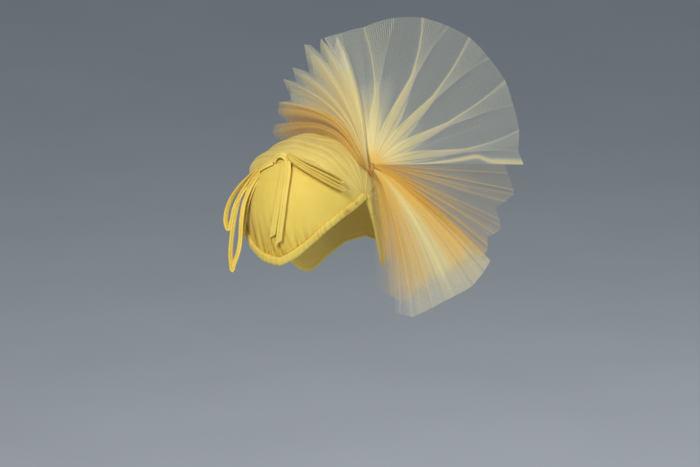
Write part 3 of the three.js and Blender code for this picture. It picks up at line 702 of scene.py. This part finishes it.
# Side loops: share of the length, then how far above the seam the far and the near leg run, as
# shares of the ribbon's width
sideRows = {
    "upper": np.array([
        (-0.1, 1.5, 1.3), (0, 1.36, 0.98), (0.25, 1.16, 0.62), (0.5, 1.04, 0.44), (0.8, 1.02, 0.4),
        (1, 0.86, 0.44),
    ]),
    "lower": np.array([
        (-0.1, 1.1, 0.9), (0, 0.66, 0.42), (0.25, 0.2, -0.12), (0.5, -0.04, -0.42), (0.8, -0.08, -0.5),
        (1, -0.12, -0.42),
    ]),
}
# Tails: side in degrees, share of the way from the seam to the front roll, and lift
tailRows = {
    "main": [
        (8.6, -0.03, overPleats + 3.4), (9.9, 0.03, overPleats + 2.4), (11.6, 0.12, overPanel + 3.2),
        (12.4, 0.27, overPanel + 3.2), (11.3, 0.51, overPanel + 3.2), (8, 0.73, overPanel + 3.2),
        (5.4, 0.86, overPanel + 3),
    ],
    "under": [
        (3.6, -0.02, overPleats - 0.6), (6.8, 0.12, overPanel + 0.6), (7.6, 0.32, overPanel + 0.6),
        (5.6, 0.54, overPanel + 0.6), (2.6, 0.71, overPanel + 0.6), (0.8, 0.81, overPanel + 0.5),
    ],
}
bowRoot = seamPlace(*bow["root"])


# Width direction of a ribbon that lies on the cap: square to its path and to the way out of the cap
def lyingWidth(path):
    return np.cross(np.gradient(path, axis=0), path - axisMiddle)


# A strip that lies over the pleats along a few places
def lyingStrip(name, places, steps, nodeName):
    path = smoothPath(seamPlace(*np.array(places).T), steps)
    ribbonPiece(name, path, lyingWidth(path), nodeName)


# A hanging loop: its ribbon's width leans from the line of sight toward the loop's outside
def hangingLoop(kind, nodeName):
    right, down, toward = np.array(loopRows[kind]).T * bow["loopDrop"]
    path = smoothPath(facePlace(bowRoot, -right, -down, toward), ribbon["steps"])
    inPlane = np.cross(unit(np.gradient(path, axis=0)), faceOutward)
    lean = bow["loopTilt"] * degree
    widthWay = np.cos(lean) * faceOutward + np.sin(lean) * inPlane
    # The loop's inner face gets painted shade
    ribbonPiece(f"bowLoop{kind.capitalize()}Ribbon", path, widthWay, nodeName, shade=0.55)


# Loop on edge along the seam: out along the far leg, round the folded end and back along the near one
def seamLoop(kind, share, nodeName):
    rows = sideRows[kind]
    lift = (cap["drapeWall"] + cap["pleatDepth"] + ribbon["width"] / 2) / mm + clear
    reach = bow["sideLength"] * share / earReach / degree
    sides = bow["sideStart"] + reach * np.concatenate([rows[:, 0], [1.02], rows[::-1, 0]])
    above = ribbon["width"] / mm * np.concatenate([rows[:, 1], [rows[-1, 1:].mean()], rows[::-1, 2]])
    path = smoothPath(seamPlace(sides, above, lift + 0 * sides), ribbon["steps"])
    out = unit(path - axisMiddle)
    downSlope = np.cross(out, [1.0, 0.25, 0])
    downSlope *= np.sign(-downSlope[:, 2:])
    lean = bow["strandTilt"] * degree
    widthWay = np.cos(lean) * out + np.sin(lean) * downSlope
    ribbonPiece(f"sideLoop{kind.capitalize()}Ribbon", path, widthWay, nodeName, thick=1.85)


# Tail: a strip that falls from the bow over the panel and ends in a slanting cut
def bowTail(kind, slant, nodeName):
    side, share, lift = np.array(tailRows[kind]).T
    low = edgeAngle("front", side, cap["frontRoll"])
    seam = edgeAngle("seam", side, 0.0)
    path = smoothPath(capPoint(side, seam + (low - seam) * share, lift * mm), 110)
    name = f"bowTail{kind.capitalize()}Ribbon"
    ribbonPiece(name, path, lyingWidth(path), nodeName, slant)


lyingStrip("bowBandRibbon", bow["band"], 60, "bow_band")
lyingStrip("bowArchRibbon", bow["arch"], 80, "bow_arch")
hangingLoop("outer", "bow_loop_outer")
hangingLoop("pointed", "bow_loop_pointed")
hangingLoop("inner", "bow_loop_inner")
seamLoop("upper", 1, "side_loop_upper")
seamLoop("lower", 1.08, "side_loop_lower")
bowTail("main", 1.1, "bow_tail_main")
bowTail("under", 0.9, "bow_tail_under")
print("bow made")


# Net: threads in three directions of the UV map leave six-sided holes; where more layers lie over
# each other, a value called layers thickens the cover by 1 - (1 - cover) ** layers
def netMaterial(name, look):
    material, tree, shader = newMaterial(name)
    uv = node(tree, "ShaderNodeUVMap", uv_map="cloth").outputs[0]
    place = node(tree, "ShaderNodeTexCoord").outputs["Object"]
    # The layers value also carries the wedges' painted shading
    layers = carried(tree, "layers")
    lines = None
    for angle in (0, 60, 120):
        spin = (0, 0, (angle + look["turn"]) * degree)
        turned = node(tree, "ShaderNodeMapping", {"Vector": uv, "Rotation": spin}).outputs[0]
        wave = bands(tree, turned, look["cell"], "X")
        line = ramp(tree, wave, (1 - look["thread"], 1 - look["thread"] * 0.4, 0, 1))
        lines = line if lines is None else mathNode(tree, "MAXIMUM", lines, line)
    single = mathNode(tree, "MULTIPLY", mathNode(tree, "MULTIPLY", lines, look["threadCover"]), layers)
    through = mathNode(tree, "POWER", 1 - look["cover"], layers)
    many = mathNode(tree, "SUBTRACT", 1.0, through)
    even = ramp(tree, layers, (1.3, 2.6, 0, 1))
    plain = mathNode(tree, "MULTIPLY", mathNode(tree, "SUBTRACT", 1.0, even), single)
    cover = mathNode(tree, "ADD", plain, mathNode(tree, "MULTIPLY", even, many), True)
    patch = clouds(tree, place, 30.0, 3.0)
    tone = mixColour(tree, ramp(tree, layers, (1.2, 5, 0, 1)), look["pale"], look["dense"])
    tone = mixColour(tree, carried(tree, "warm"), tone, look["warm"])
    tone = mixColour(tree, ramp(tree, patch, (0.4, 0.7, 0, 0.2)), tone, look["shade"])
    feed(tree, shader, {
        "Base Color": tone, "Alpha": cover, "Roughness": 0.65, "Sheen Weight": 0.06, "Sheen Roughness": 0.5,
        "Specular IOR Level": 0.15,
    })
    return material


paleLook = {
    "cell": 2.5 * mm, "turn": 8, "thread": 0.12, "threadCover": 0.28, "cover": 0.13,
    "pale": colour(238, 236, 204), "dense": colour(234, 218, 152),
    "warm": colour(230, 184, 84), "shade": colour(220, 192, 118),
}
orangeLook = dict(
    paleLook, pale=colour(216, 200, 134), dense=colour(212, 178, 82),
    warm=colour(208, 156, 54), shade=colour(194, 148, 62))
# Brown net for the loops and the side fan: partly the net's own brown-gold, partly painted shade, its warm tone
# darkened for the fan that lies in shade over the cap's side
brownShadedLook = dict(
    paleLook, pale=colour(242, 206, 124), dense=colour(236, 190, 92),
    warm=colour(164, 122, 52), shade=colour(186, 142, 70))
paleNet = netMaterial("paleNet", paleLook)
orangeNet = netMaterial("orangeNet", orangeLook)
brownShadedNet = netMaterial("brownShadedNet", brownShadedLook)

# Folds of the net, a row per fold: angle, reach share, lean, crest share, arch and hump
netRows = {
    "upper": [
        (-0.5, 0.95, 1, 0.5, 0, 0), (5, 0.92, -3, 1.5, 0, 0), (13, 0.95, -6, 1, 0, 0),
        (24, 0.97, -8, 1.1, 0, 0), (33, 1, -10, 0.9, 0, 0), (44, 1.01, -11, 1.2, 0, 0),
        (54, 1.03, -12, 1, 0, 0), (63, 1.02, -13, 1.2, 0, 0), (73, 1.01, -14, 1, 0, 0),
        (84, 0.97, -15, 1.3, 0, 0), (96, 0.91, -17, 1.1, 0, 0), (106, 0.9, -19, 1, 0.01, 0),
        (113, 0.91, -21, 0.6, 0.02, 0),
    ],
    "left": [
        (111, 0.89, -8, 0.8, 0.03, 0), (116, 0.84, -11, 1.1, 0.03, 0.02), (121, 0.92, -15, 0.9, 0.04, 0.04),
        (127, 0.81, -19, 1.2, 0.06, 0.05), (133, 0.82, -23, 1, 0.08, 0.06),
        (139, 0.77, -28, 1.2, 0.1, 0.08), (145, 0.77, -33, 0.8, 0.12, 0.1),
    ],
    "loops": [
        (147.5, 0.74, -36, 0.8, 0.13, 0.12), (151.5, 0.72, -37, 1.2, 0.14, 0.14),
        (155.5, 0.67, -38, 1, 0.15, 0.16), (160, 0.7, -39, 1.2, 0.17, 0.17), (164, 0.66, -40, 0.7, 0.18, 0.18),
    ],
    "orange": [
        (-41, 0.91, 8, 0.8, 0.02, 0.02), (-37, 0.91, 7, 1.2, 0.02, 0.02), (-33, 0.86, 8, 0.9, 0.02, 0.02),
        (-28, 0.91, 7, 1.2, 0.01, 0.02), (-21, 0.82, 8, 1, 0.01, 0.02), (-14, 0.91, 7, 1.3, 0, 0.02),
        (-8, 0.86, 7, 1, -0.01, 0.02), (-3, 0.82, 7, 0.7, -0.01, 0.01),
    ],
    "lower": [
        (-82, 0.98, 6, 0.8, 0.04, 0.05), (-76, 1.03, 6, 1.2, 0.04, 0.05), (-70, 1.01, 6, 0.9, 0.04, 0.04),
        (-65, 1, 6, 1.3, 0.04, 0.04), (-60, 1, 6, 1, 0.04, 0.03), (-54, 1.01, 6, 1.2, 0.03, 0.03),
        (-48, 0.99, 6, 1, 0.03, 0.02), (-43, 0.97, 6, 0.7, 0.03, 0.02),
    ],
    "side": [
        (-91, 0.8, 4, 0.5, 0, 0.06), (-86, 0.86, 4, 0.8, 0.01, 0.05), (-81, 0.92, 4, 0.7, 0.02, 0.045),
        (-75, 0.9, 4, 0.9, 0.03, 0.04),
    ],
}


# Value read from pairs of (place, value), straight between them
def table(pairs, x):
    places, values = np.array(pairs, float).T
    return np.interp(x, places, values)


# What every sheet of net has, unless its fan's own look says otherwise
sheetLook = {
    "rings": 44, "reach": 1.0, "share": 1.0, "spread": 0.0, "spacing": 33 * mm, "shift": 0.0, "seed": 61,
    "flutter": 0.6 * mm, "flutterRate": 2.3, "ragged": 0.0, "scallop": 0.0, "crest": 0.5, "streakRate": 9,
    "waist": 0.56, "lineWidth": 0.035, "hubWarm": 0.09, "wedges": [], "roll": None,
    "rim": [(0, 1)], "sweep": [(0, 0)], "fill": [(0, 0)], "root": (0, 0, 0),
}
# How the gathers lie on each fan. base, fill, warm, rim and sweep are read across its folds, along and
# warmAlong from the hub to the rim. wedges are folds that narrow at a waist and open again to the rim,
# between two rows; lines are single creases; roll is a rolled edge, its place read along the radius;
# root is how far stitches draw the fan's root right, up and toward the viewer. fill adds layers near
# the hub, sweep turns the fan there, in degrees, rim scales the reach, scallop draws it in at each row,
# and hubWarm is the share of the reach over which the hub's own colour fades
netLooks = {
    "upper": {
        "base": [(0, 1), (8.8, 1), (10, 1.3), (12, 1.6)], "fill": [(0, 0), (8.2, 0.3), (9.6, 5), (12, 7)],
        "along": [(0, 12), (0.08, 9), (0.14, 6), (0.2, 3), (0.28, 1.4), (0.4, 1), (1, 0.9)],
        "warm": [(0, 0.6), (4, 0.25), (12, 0.3)],
        "warmAlong": [(0, 1), (0.1, 0.5), (0.25, 0.1), (0.4, 0), (1, 0)],
        "wedges": [(1, 2, 0.8), (3, 4, 1), (5, 6, 1), (7, 8, 1.1), (9, 10, 0.9), (11, 12, 1)],
        "lines": [(2.6, 0.3), (8.7, 0.3), (10.6, 0.5), (11.3, 0.7)], "streak": 0.1,
        "roll": [(0, 0.15), (0.3, 0.16), (0.52, 0.5), (0.7, 0.85), (0.78, 0.3), (1, 0.1)], "rollLayers": 7,
        "columns": 700,
    },
    "left": {
        "base": [(0, 0.9), (1.5, 1), (6, 1)],
        "along": [(0, 14), (0.2, 12), (0.45, 9.5), (0.7, 6.4), (0.85, 4.4), (0.95, 2.6), (1, 1.7)],
        "warm": [(0, 0.15), (2.5, 0.3), (4, 0.5), (6, 0.8)],
        "warmAlong": [(0, 1), (0.3, 0.8), (0.8, 0.6), (1, 0.3)],
        "wedges": [(0.1, 0.9, 0.8), (1.6, 2.3, 0.8), (2.9, 3.4, 0.8), (4.1, 4.8, 0.8)],
        "lines": [(0.2, 4), (1.13, 7), (1.4, 4), (2.28, 7), (2.5, 3), (3.62, 6), (4.58, 6), (5.3, 3)],
        "streak": 0.22, "streakRate": 7, "crest": 0.3, "columns": 320, "lineWidth": 0.1,
        "sweep": [(0, 14), (6, -8)], "root": (-2.2 * mm, -9 * mm, 9 * mm),
        "rim": [
            (0, 1), (0.6, 0.93), (1.13, 1.07), (1.7, 0.92), (2.28, 1.045), (3, 0.93), (3.62, 1.05),
            (4.1, 0.94), (4.58, 1.07), (5.3, 0.93), (6, 1.02),
        ],
    },
    "loops": {
        "base": [(0, 1.1), (4, 1)],
        "along": [(0, 14), (0.3, 12), (0.6, 11), (0.85, 9), (0.95, 6), (1, 3)],
        "warm": [(0, 0.2), (4, 0.4)], "warmAlong": [(0, 1), (1, 0.8)],
        "lines": [(0.8, 2.5), (1.7, 2), (2.4, 3), (3.3, 2)], "streak": 0.45, "streakRate": 6,
        "sweep": [(0, 12), (4, 34)], "root": (-3 * mm, -9 * mm, 7 * mm), "columns": 240, "scallop": 0.03,
        "rim": [
            (0, 0.98), (0.5, 1.06), (1, 1.09), (1.6, 1.07), (2, 0.99), (2.5, 1.07), (3, 1.08),
            (3.5, 1.06), (4, 1),
        ],
    },
    "orange": {
        "base": [(0, 3), (1.2, 2.6), (2, 1.4), (3.5, 0.9), (5, 0.8), (7, 0.8)],
        "along": [(0, 9), (0.15, 6.5), (0.3, 4), (0.45, 2), (0.65, 1.2), (1, 0.9)],
        "warm": [(0, 0.9), (2, 0.8), (4, 0.55), (7, 0.5)],
        "warmAlong": [(0, 1), (0.4, 0.9), (0.8, 0.6), (1, 0.3)],
        "wedges": [(0.2, 0.8, 0.6), (2.2, 2.7, 0.5), (4.5, 5, 0.5)],
        "lines": [(0.5, 4), (1.4, 8), (1.6, 4), (2.4, 8), (3.2, 7), (3.4, 4), (4.5, 4), (5.3, 7), (6.3, 4)],
        "streak": 0.22, "streakRate": 8, "crest": 0.4, "columns": 420,
        "sweep": [(0, 8), (4, 14), (7, 3)], "hubWarm": 0.3,
    },
    "lower": {
        "base": [
            (0, 0.4), (0.5, 0.9), (1.3, 2.2), (2, 2.6), (3, 2.4), (3.4, 3.2), (4.1, 3), (4.6, 3.2), (5.5, 3.8),
            (7, 3.6),
        ],
        "along": [(0, 5), (0.2, 4), (0.45, 2.8), (0.78, 2.2), (0.86, 1.2), (1, 0.8)],
        "warm": [(0, 0.7), (1, 0.9), (2.6, 0.7), (3.2, 0.05), (4.2, 0.05), (4.8, 0.8), (6, 1), (7, 1)],
        "warmAlong": [(0, 1), (0.4, 1), (0.78, 0.9), (0.9, 0.3), (1, 0.15)],
        "wedges": [(3.1, 3.9, 0.8)],
        "lines": [(0.4, 2), (0.9, 2), (1.5, 2), (2.2, 2), (3.15, 4), (3.6, 2), (4.2, 3), (5, 1.2), (6.1, 1.2)],
        "streak": 0.2, "columns": 420,
        "sweep": [(0, 24), (4, 22), (7, 8)], "root": (-1 * mm, -3 * mm, 2 * mm), "hubWarm": 0.25,
    },
    "side": {
        "base": [(0, 0.2), (0.8, 0.8), (1.4, 2.4), (3, 3.2)],
        "along": [(0, 5), (0.3, 4), (0.6, 2.6), (0.75, 1), (1, 0.5)],
        "warm": [(0, 0.3), (3, 0.85)], "warmAlong": [(0, 1), (1, 0.6)],
        "lines": [(1.2, 3), (1.6, 4), (2, 3), (2.3, 4), (2.7, 4)], "streak": 0.6, "columns": 160,
        "sweep": [(0, 12), (3, 16)], "root": (-1 * mm, -5 * mm, 3 * mm),
    },
}
# Half width of a wedge, out to its waist and, in shares of the way, as shares of the wedge
toWaist = [(0, 1.15), (0.38, 1.05), (0.54, 0.74), (0.7, 0.44), (0.86, 0.22), (1, 0.1)]


# Layers of net over a fan, from its folds: in a wedge's half width, narrow at the waist, several
# layers lie on each other, its two borders stand out as exp(-distance**2) lines, and gathers show
# as streaks, a waviness across the folds that fades to the rim
def netLayers(t, share, look):
    layers = table(look["base"], t) * table(look["along"], share)
    layers = layers + table(look["fill"], t) * table([(0, 1), (0.28, 1), (0.42, 0.45), (0.6, 0)], share)
    streaks = look["streak"] * waviness(t * look["streakRate"] + share, look["seed"])
    layers = layers * (1 + streaks * (1 - 0.6 * share))
    for start, end, strength in look["wedges"]:
        waist = look["waist"] + 0.06 * np.sin(start * 1.9)
        outline = [(waist * place, value) for place, value in toWaist] + [(waist + 0.2, 0.24), (1, 0.5)]
        half = (end - start) * table(outline, share)
        side = t - (start + end) / 2 - 0.14 * np.sin(start * 2.3 + 3 * share) * (1 - share)
        off = np.abs(side)
        # Painted shading: one side of each wedge holds more layers than the other, so it shows lighter and
        # denser
        lit = 0.72 + 0.28 * np.clip(side / half, -1, 1)
        inside = np.clip((half - off) / (0.07 + 0.12 * (side < 0)) + 0.5, 0, 1) * lit
        packed = [(0, 7), (0.15, 6), (0.3, 4.6), (waist, 4), (waist + 0.12, 1.2), (0.8, 0.6), (1, 0.35)]
        border = np.exp(-((off - half) / 0.05) ** 2) * table([(0, 0), (0.3, 2), (0.5, 2.4), (1, 1.6)], share)
        # Painted highlight: one border of each wedge is made stronger than the other
        border = border * np.where(side > 0, 1.15, 0.5)
        layers = layers + strength * (inside * table(packed, share) + border)
    for place, strength in look["lines"]:
        off = t - place - 0.1 * np.sin(place * 5 + 2.5 * share)
        thin = look["lineWidth"] + 0.16 * (1 - share) ** 2
        layers = layers + strength * np.exp(-(off / thin) ** 2) * (1 - 0.55 * share)
    if look["roll"]:
        off = t - table(look["roll"], share)
        layers = layers + look["rollLayers"] * np.exp(-(off / (0.13 + 0.1 * share)) ** 2) * (1 - 0.35 * share)
    return np.maximum(layers, 0.02)


# One sheet of net: a polar grid from the hub, each direction's reach and slope read from the fold
# rows. A fold's ridge rises in its first fifth and falls over the rest, in proportion to the
# radius as a cone does. Stitches pull the middle toward the cap by (1 - share)**power, and the fan's
# own root by another power of it. A fan turns near the hub by sweep * exp(-share / sweepFade)
def netSheet(rows, toward, look):
    rows = np.array(rows, float)
    rows[:, 0] += (rows[:, 0] - rows[:, 0].mean()) * look["spread"]
    t = np.linspace(0, len(rows) - 1, look["columns"])[:, None]
    k = np.minimum(t.astype(int), len(rows) - 2)
    f = t - k
    angle, reach, lean, _, arch, hump = (np.interp(t, np.arange(len(rows)), column) for column in rows.T)
    steep = rosette["ridgeAt"]
    ridge = np.where(f < steep, f / steep, (1 - f) / (1 - steep)) * rows[k, 3]
    share = (np.linspace(0, 1, look["rings"]) ** rosette["ringPower"])[None, :]
    reach = reach * (1 - look["ragged"] * (0.5 + 0.5 * waviness(t * 3.1, look["seed"] + 100)))
    reach = reach * (1 - look["scallop"] * (2 * f - 1) ** 2) * rosette["reach"] * table(look["rim"], t)
    radius = rosette["start"] + (reach * look["reach"] - rosette["start"]) * share
    bulge = reach * np.sin(np.pi * share)
    depth = reach * np.tan(lean * degree) * share**2 + hump * bulge
    depth = depth + ridge * rosette["crest"] * share * look["crest"]
    angle = (angle + table(look["sweep"], t) * np.exp(-share / rosette["sweepFade"])) * degree
    cos, sin = np.cos(angle), np.sin(angle)
    flutter = look["flutter"] * waviness(t * look["flutterRate"] + share * 1.5, look["seed"]) * share
    places = (
        radius * cos + arch * bulge * np.abs(sin) - flutter * sin,
        radius * sin + arch * bulge * np.abs(cos) + flutter * cos,
        toward + look["shift"] * share + depth + flutter,
    )
    pulls = (rosette["pullRight"], rosette["pullUp"], rosette["pullToward"])
    pull, root = (1 - share) ** rosette["pullPower"], (1 - share) ** rosette["rootPower"]
    grid = facePlace(hub, *(p + a * pull + b * root for p, a, b in zip(places, pulls, look["root"])))
    layers = netLayers(t, share, look) * look["share"]
    warm = table(look["warm"], t) * table(look["warmAlong"], share)
    warm = warm + 0.8 * np.exp(-(share / look["hubWarm"]) ** 2) + 0.1 * waviness(t * 5, look["seed"])
    uv = np.stack([t * look["spacing"] + 0 * share, radius], -1)
    return grid, uv, layers, np.clip(warm, 0, 1)


# A fan of one or more sheets. Its cut is as wide as its rows' angle times the reach, for each sheet
def netPiece(name, kind, sheets, material, slot, nodeName, toward):
    made = [netSheet(netRows[kind], toward, {**sheetLook, **netLooks[kind], **sheet}) for sheet in sheets]
    grids, uvs, layers, warm = zip(*made)
    values = {
        "layers": np.concatenate([value.ravel() for value in layers]),
        "warm": np.concatenate([value.ravel() for value in warm]),
    }
    piece = finishPiece(gridMesh(name, grids, uvs, values), material, slot, nodeName)
    rim = (netRows[kind][-1][0] - netRows[kind][0][0]) * degree * rosette["reach"]
    declareSheet(piece, (rim * len(sheets), rosette["reach"]), 1)


# The second sheet of a fan is looser than its first
loose = {"share": 0.5, "shift": -5 * mm, "flutter": 3 * mm}
netPiece("netFanUpperSheet", "upper", [{}], paleNet, "net_pale", "net_fan_upper", -0.8 * mm)
netPiece("netFanLeftSheet", "left", [
    {"seed": 62, "share": 0.6, "spread": 0.2},
    {**loose, "seed": 63, "reach": 0.97, "shift": -6 * mm, "spread": 0.28, "ragged": 0.12},
], paleNet, "net_pale", "net_fan_left", 0.8 * mm)
netPiece("netLoopsLeftSheet", "loops", [
    {"seed": 64, "share": 0.6, "spread": 0.35},
    {**loose, "seed": 65, "reach": 0.94, "shift": -6 * mm, "spread": 0.3},
], brownShadedNet, "net_orange", "net_loops_left", 0.0)
netPiece("netFanOrangeSheet", "orange", [
    {"seed": 66, "spread": 0.12},
    {**loose, "seed": 67, "share": 0.4, "reach": 0.8, "spread": 0.2, "ragged": 0.3},
], orangeNet, "net_orange", "net_fan_orange", 0.8 * mm)
netPiece("netFanLowerSheet", "lower", [
    {"seed": 68, "spread": 0.1},
    {**loose, "seed": 69, "reach": 0.9, "spread": 0.16, "ragged": 0.15},
], paleNet, "net_pale", "net_fan_lower", 0.0)
# The side fan's dark warm tone is painted shade over the cap's side
netPiece("netFanSideSheet", "side", [
    {"seed": 70, "spread": 0.1},
], brownShadedNet, "net_orange", "net_fan_side", 0.8 * mm)
print("net made")

# The knot's folds and their twist, and how far it is drawn out, down and to the side
knot = {
    "radius": 4 * mm, "sides": 64, "folds": 11, "foldDepth": 1.5 * mm, "twist": 5 * mm,
    "stretch": 2, "drop": 5.5 * mm, "lean": 0.2, "girth": 20 * mm,
}


# Knot: the frame's turned profile with gathered folds that twist about its axis, drawn out downward
# by p + faceUp * (stretch - 1) * height as the stitched net is
def gatherKnot():
    fade = np.cos(rosette["hubAcross"] * degree) ** 0.6
    pulled = facePlace(hub, rosette["pullRight"], rosette["pullUp"], rosette["pullToward"])
    base = capPoint(rosette["hubAcross"], rosette["hubAround"], cap["drapeWall"] + cap["pleatDepth"] * fade)
    up = unit(pulled - base)
    foot = -np.linalg.norm(pulled - base)
    r = knot["radius"]
    arc = np.linspace(-30, 90, 30) * degree
    radius = np.concatenate([[0, r * 0.66, r * 0.55, r * 0.7], r * np.cos(arc)])
    height = np.concatenate([[foot, foot, foot * 0.7, -r * 0.66], r * np.sin(arc)])
    radius[-1] = 0
    angle = np.linspace(0, 2 * np.pi, knot["sides"], endpoint=False)[None, :]
    fold = np.abs(np.sin(angle * knot["folds"] / 2 + height[:, None] / knot["twist"])) ** 0.6 - 1
    ring = np.maximum(radius[:, None] + knot["foldDepth"] * fold * (radius[:, None] / r), 0)
    sideA = unit(np.cross(up, [0, 0, 1.0]))
    sideB = np.cross(up, sideA)
    rings = (
        pulled
        + up * height[:, None, None]
        + sideA * (ring * np.cos(angle))[..., None]
        + sideB * (ring * np.sin(angle))[..., None]
    )
    high = ((rings - pulled) @ faceUp)[..., None]
    rings = rings + (faceUp * (knot["stretch"] - 1) + faceRight * knot["lean"]) * high - faceUp * knot["drop"]
    # Painted shade in the folds' valleys
    paintedShade = np.clip(-fold, 0, 1)
    return sweptPiece(
        "gatherKnotCloth", rings, paintedShade, height, knot["girth"], knotCloth, "net_orange", "gather_knot")


# The knot's shade colour paints shade into its folds
knotCloth = clothMaterial("knotCloth", dict(
    drapeLook, colourA=colour(222, 170, 84), colourB=colour(204, 146, 62), paintedShadeColour=colour(120, 70, 20),
    paintedShadeStrength=0.9))
knotPiece = gatherKnot()
print("knot made")

# Floor far enough down for the hat on its head; lights, a row each: place, size, power and tint
studio = {
    "floorTop": -0.9, "floorHalf": 14.0, "paperA": colour(196, 201, 205), "paperB": colour(206, 211, 215),
    "target": (0.03, 0.0, -0.08),
    "lights": {
        "keyLight": ((0.1, -2.1, 1.6), 0.9, 51, (1, 0.98, 0.95)),
        "fillLight": ((2.1, -0.7, 0.5), 1.6, 18, (0.95, 0.97, 1)),
        "backLight": ((0.2, 2.0, 1.6), 1.2, 18, (1, 1, 1)),
    },
    "air": colour(150, 158, 166), "airStrength": 0.62,
    "distance": 6.0, "lens": 246, "right": 41 * mm, "up": -27 * mm,
}


# An object at a place, turned so that its -Z axis looks along a direction
def lookingObject(data, place, way):
    made = bpy.data.objects.new(data.name, data)
    made.location = place
    made.rotation_mode = "QUATERNION"
    made.rotation_quaternion = Vector(way).to_track_quat("-Z", "Y")
    bpy.context.scene.collection.objects.link(made)
    return made


# Floor: one wide plain sheet under the hat
def studioFloor():
    size, top = studio["floorHalf"], studio["floorTop"]
    mesh = bpy.data.meshes.new("studioFloor")
    corners = [(-size, -size, top), (size, -size, top), (size, size, top), (-size, size, top)]
    mesh.from_pydata(corners, [], [(0, 1, 2, 3)])
    floor = bpy.data.objects.new("studioFloor", mesh)
    bpy.context.scene.collection.objects.link(floor)
    material, tree, shader = newMaterial("studioPaper")
    place = node(tree, "ShaderNodeTexCoord").outputs["Object"]
    tone = mixColour(tree, clouds(tree, place, 3.0, 5.0), studio["paperA"], studio["paperB"])
    feed(tree, shader, {"Base Color": tone, "Roughness": 0.9})
    mesh.materials.append(material)


# Round area lights that look at the target, and an even sky
def studioLights():
    for name, (place, size, power, tint) in studio["lights"].items():
        data = bpy.data.lights.new(name, "AREA")
        data.shape, data.size, data.energy, data.color = "DISK", size, power, tint
        lookingObject(data, place, Vector(studio["target"]) - Vector(place))
    world = bpy.data.worlds.new("studioAir")
    world.use_nodes = True
    feed(world.node_tree, world.node_tree.nodes["Background"], {
        "Color": studio["air"], "Strength": studio["airStrength"],
    })
    bpy.context.scene.world = world


# Camera on the line through its aim along the rosette's face, which is the photo's line of sight
def studioCamera():
    data = bpy.data.cameras.new("camera")
    data.lens, data.sensor_width = studio["lens"], 36
    data.clip_start, data.clip_end = 0.1, 60
    aim = facePlace(np.array([0, 0, -cap["height"]]), studio["right"], studio["up"], 0.0)
    scene = bpy.context.scene
    scene.camera = lookingObject(data, aim + studio["distance"] * faceOutward, -faceOutward)
    scene.view_settings.view_transform = "Standard"
    scene.cycles.transparent_max_bounces = 48


studioFloor()
studioLights()
studioCamera()
print("studio made")
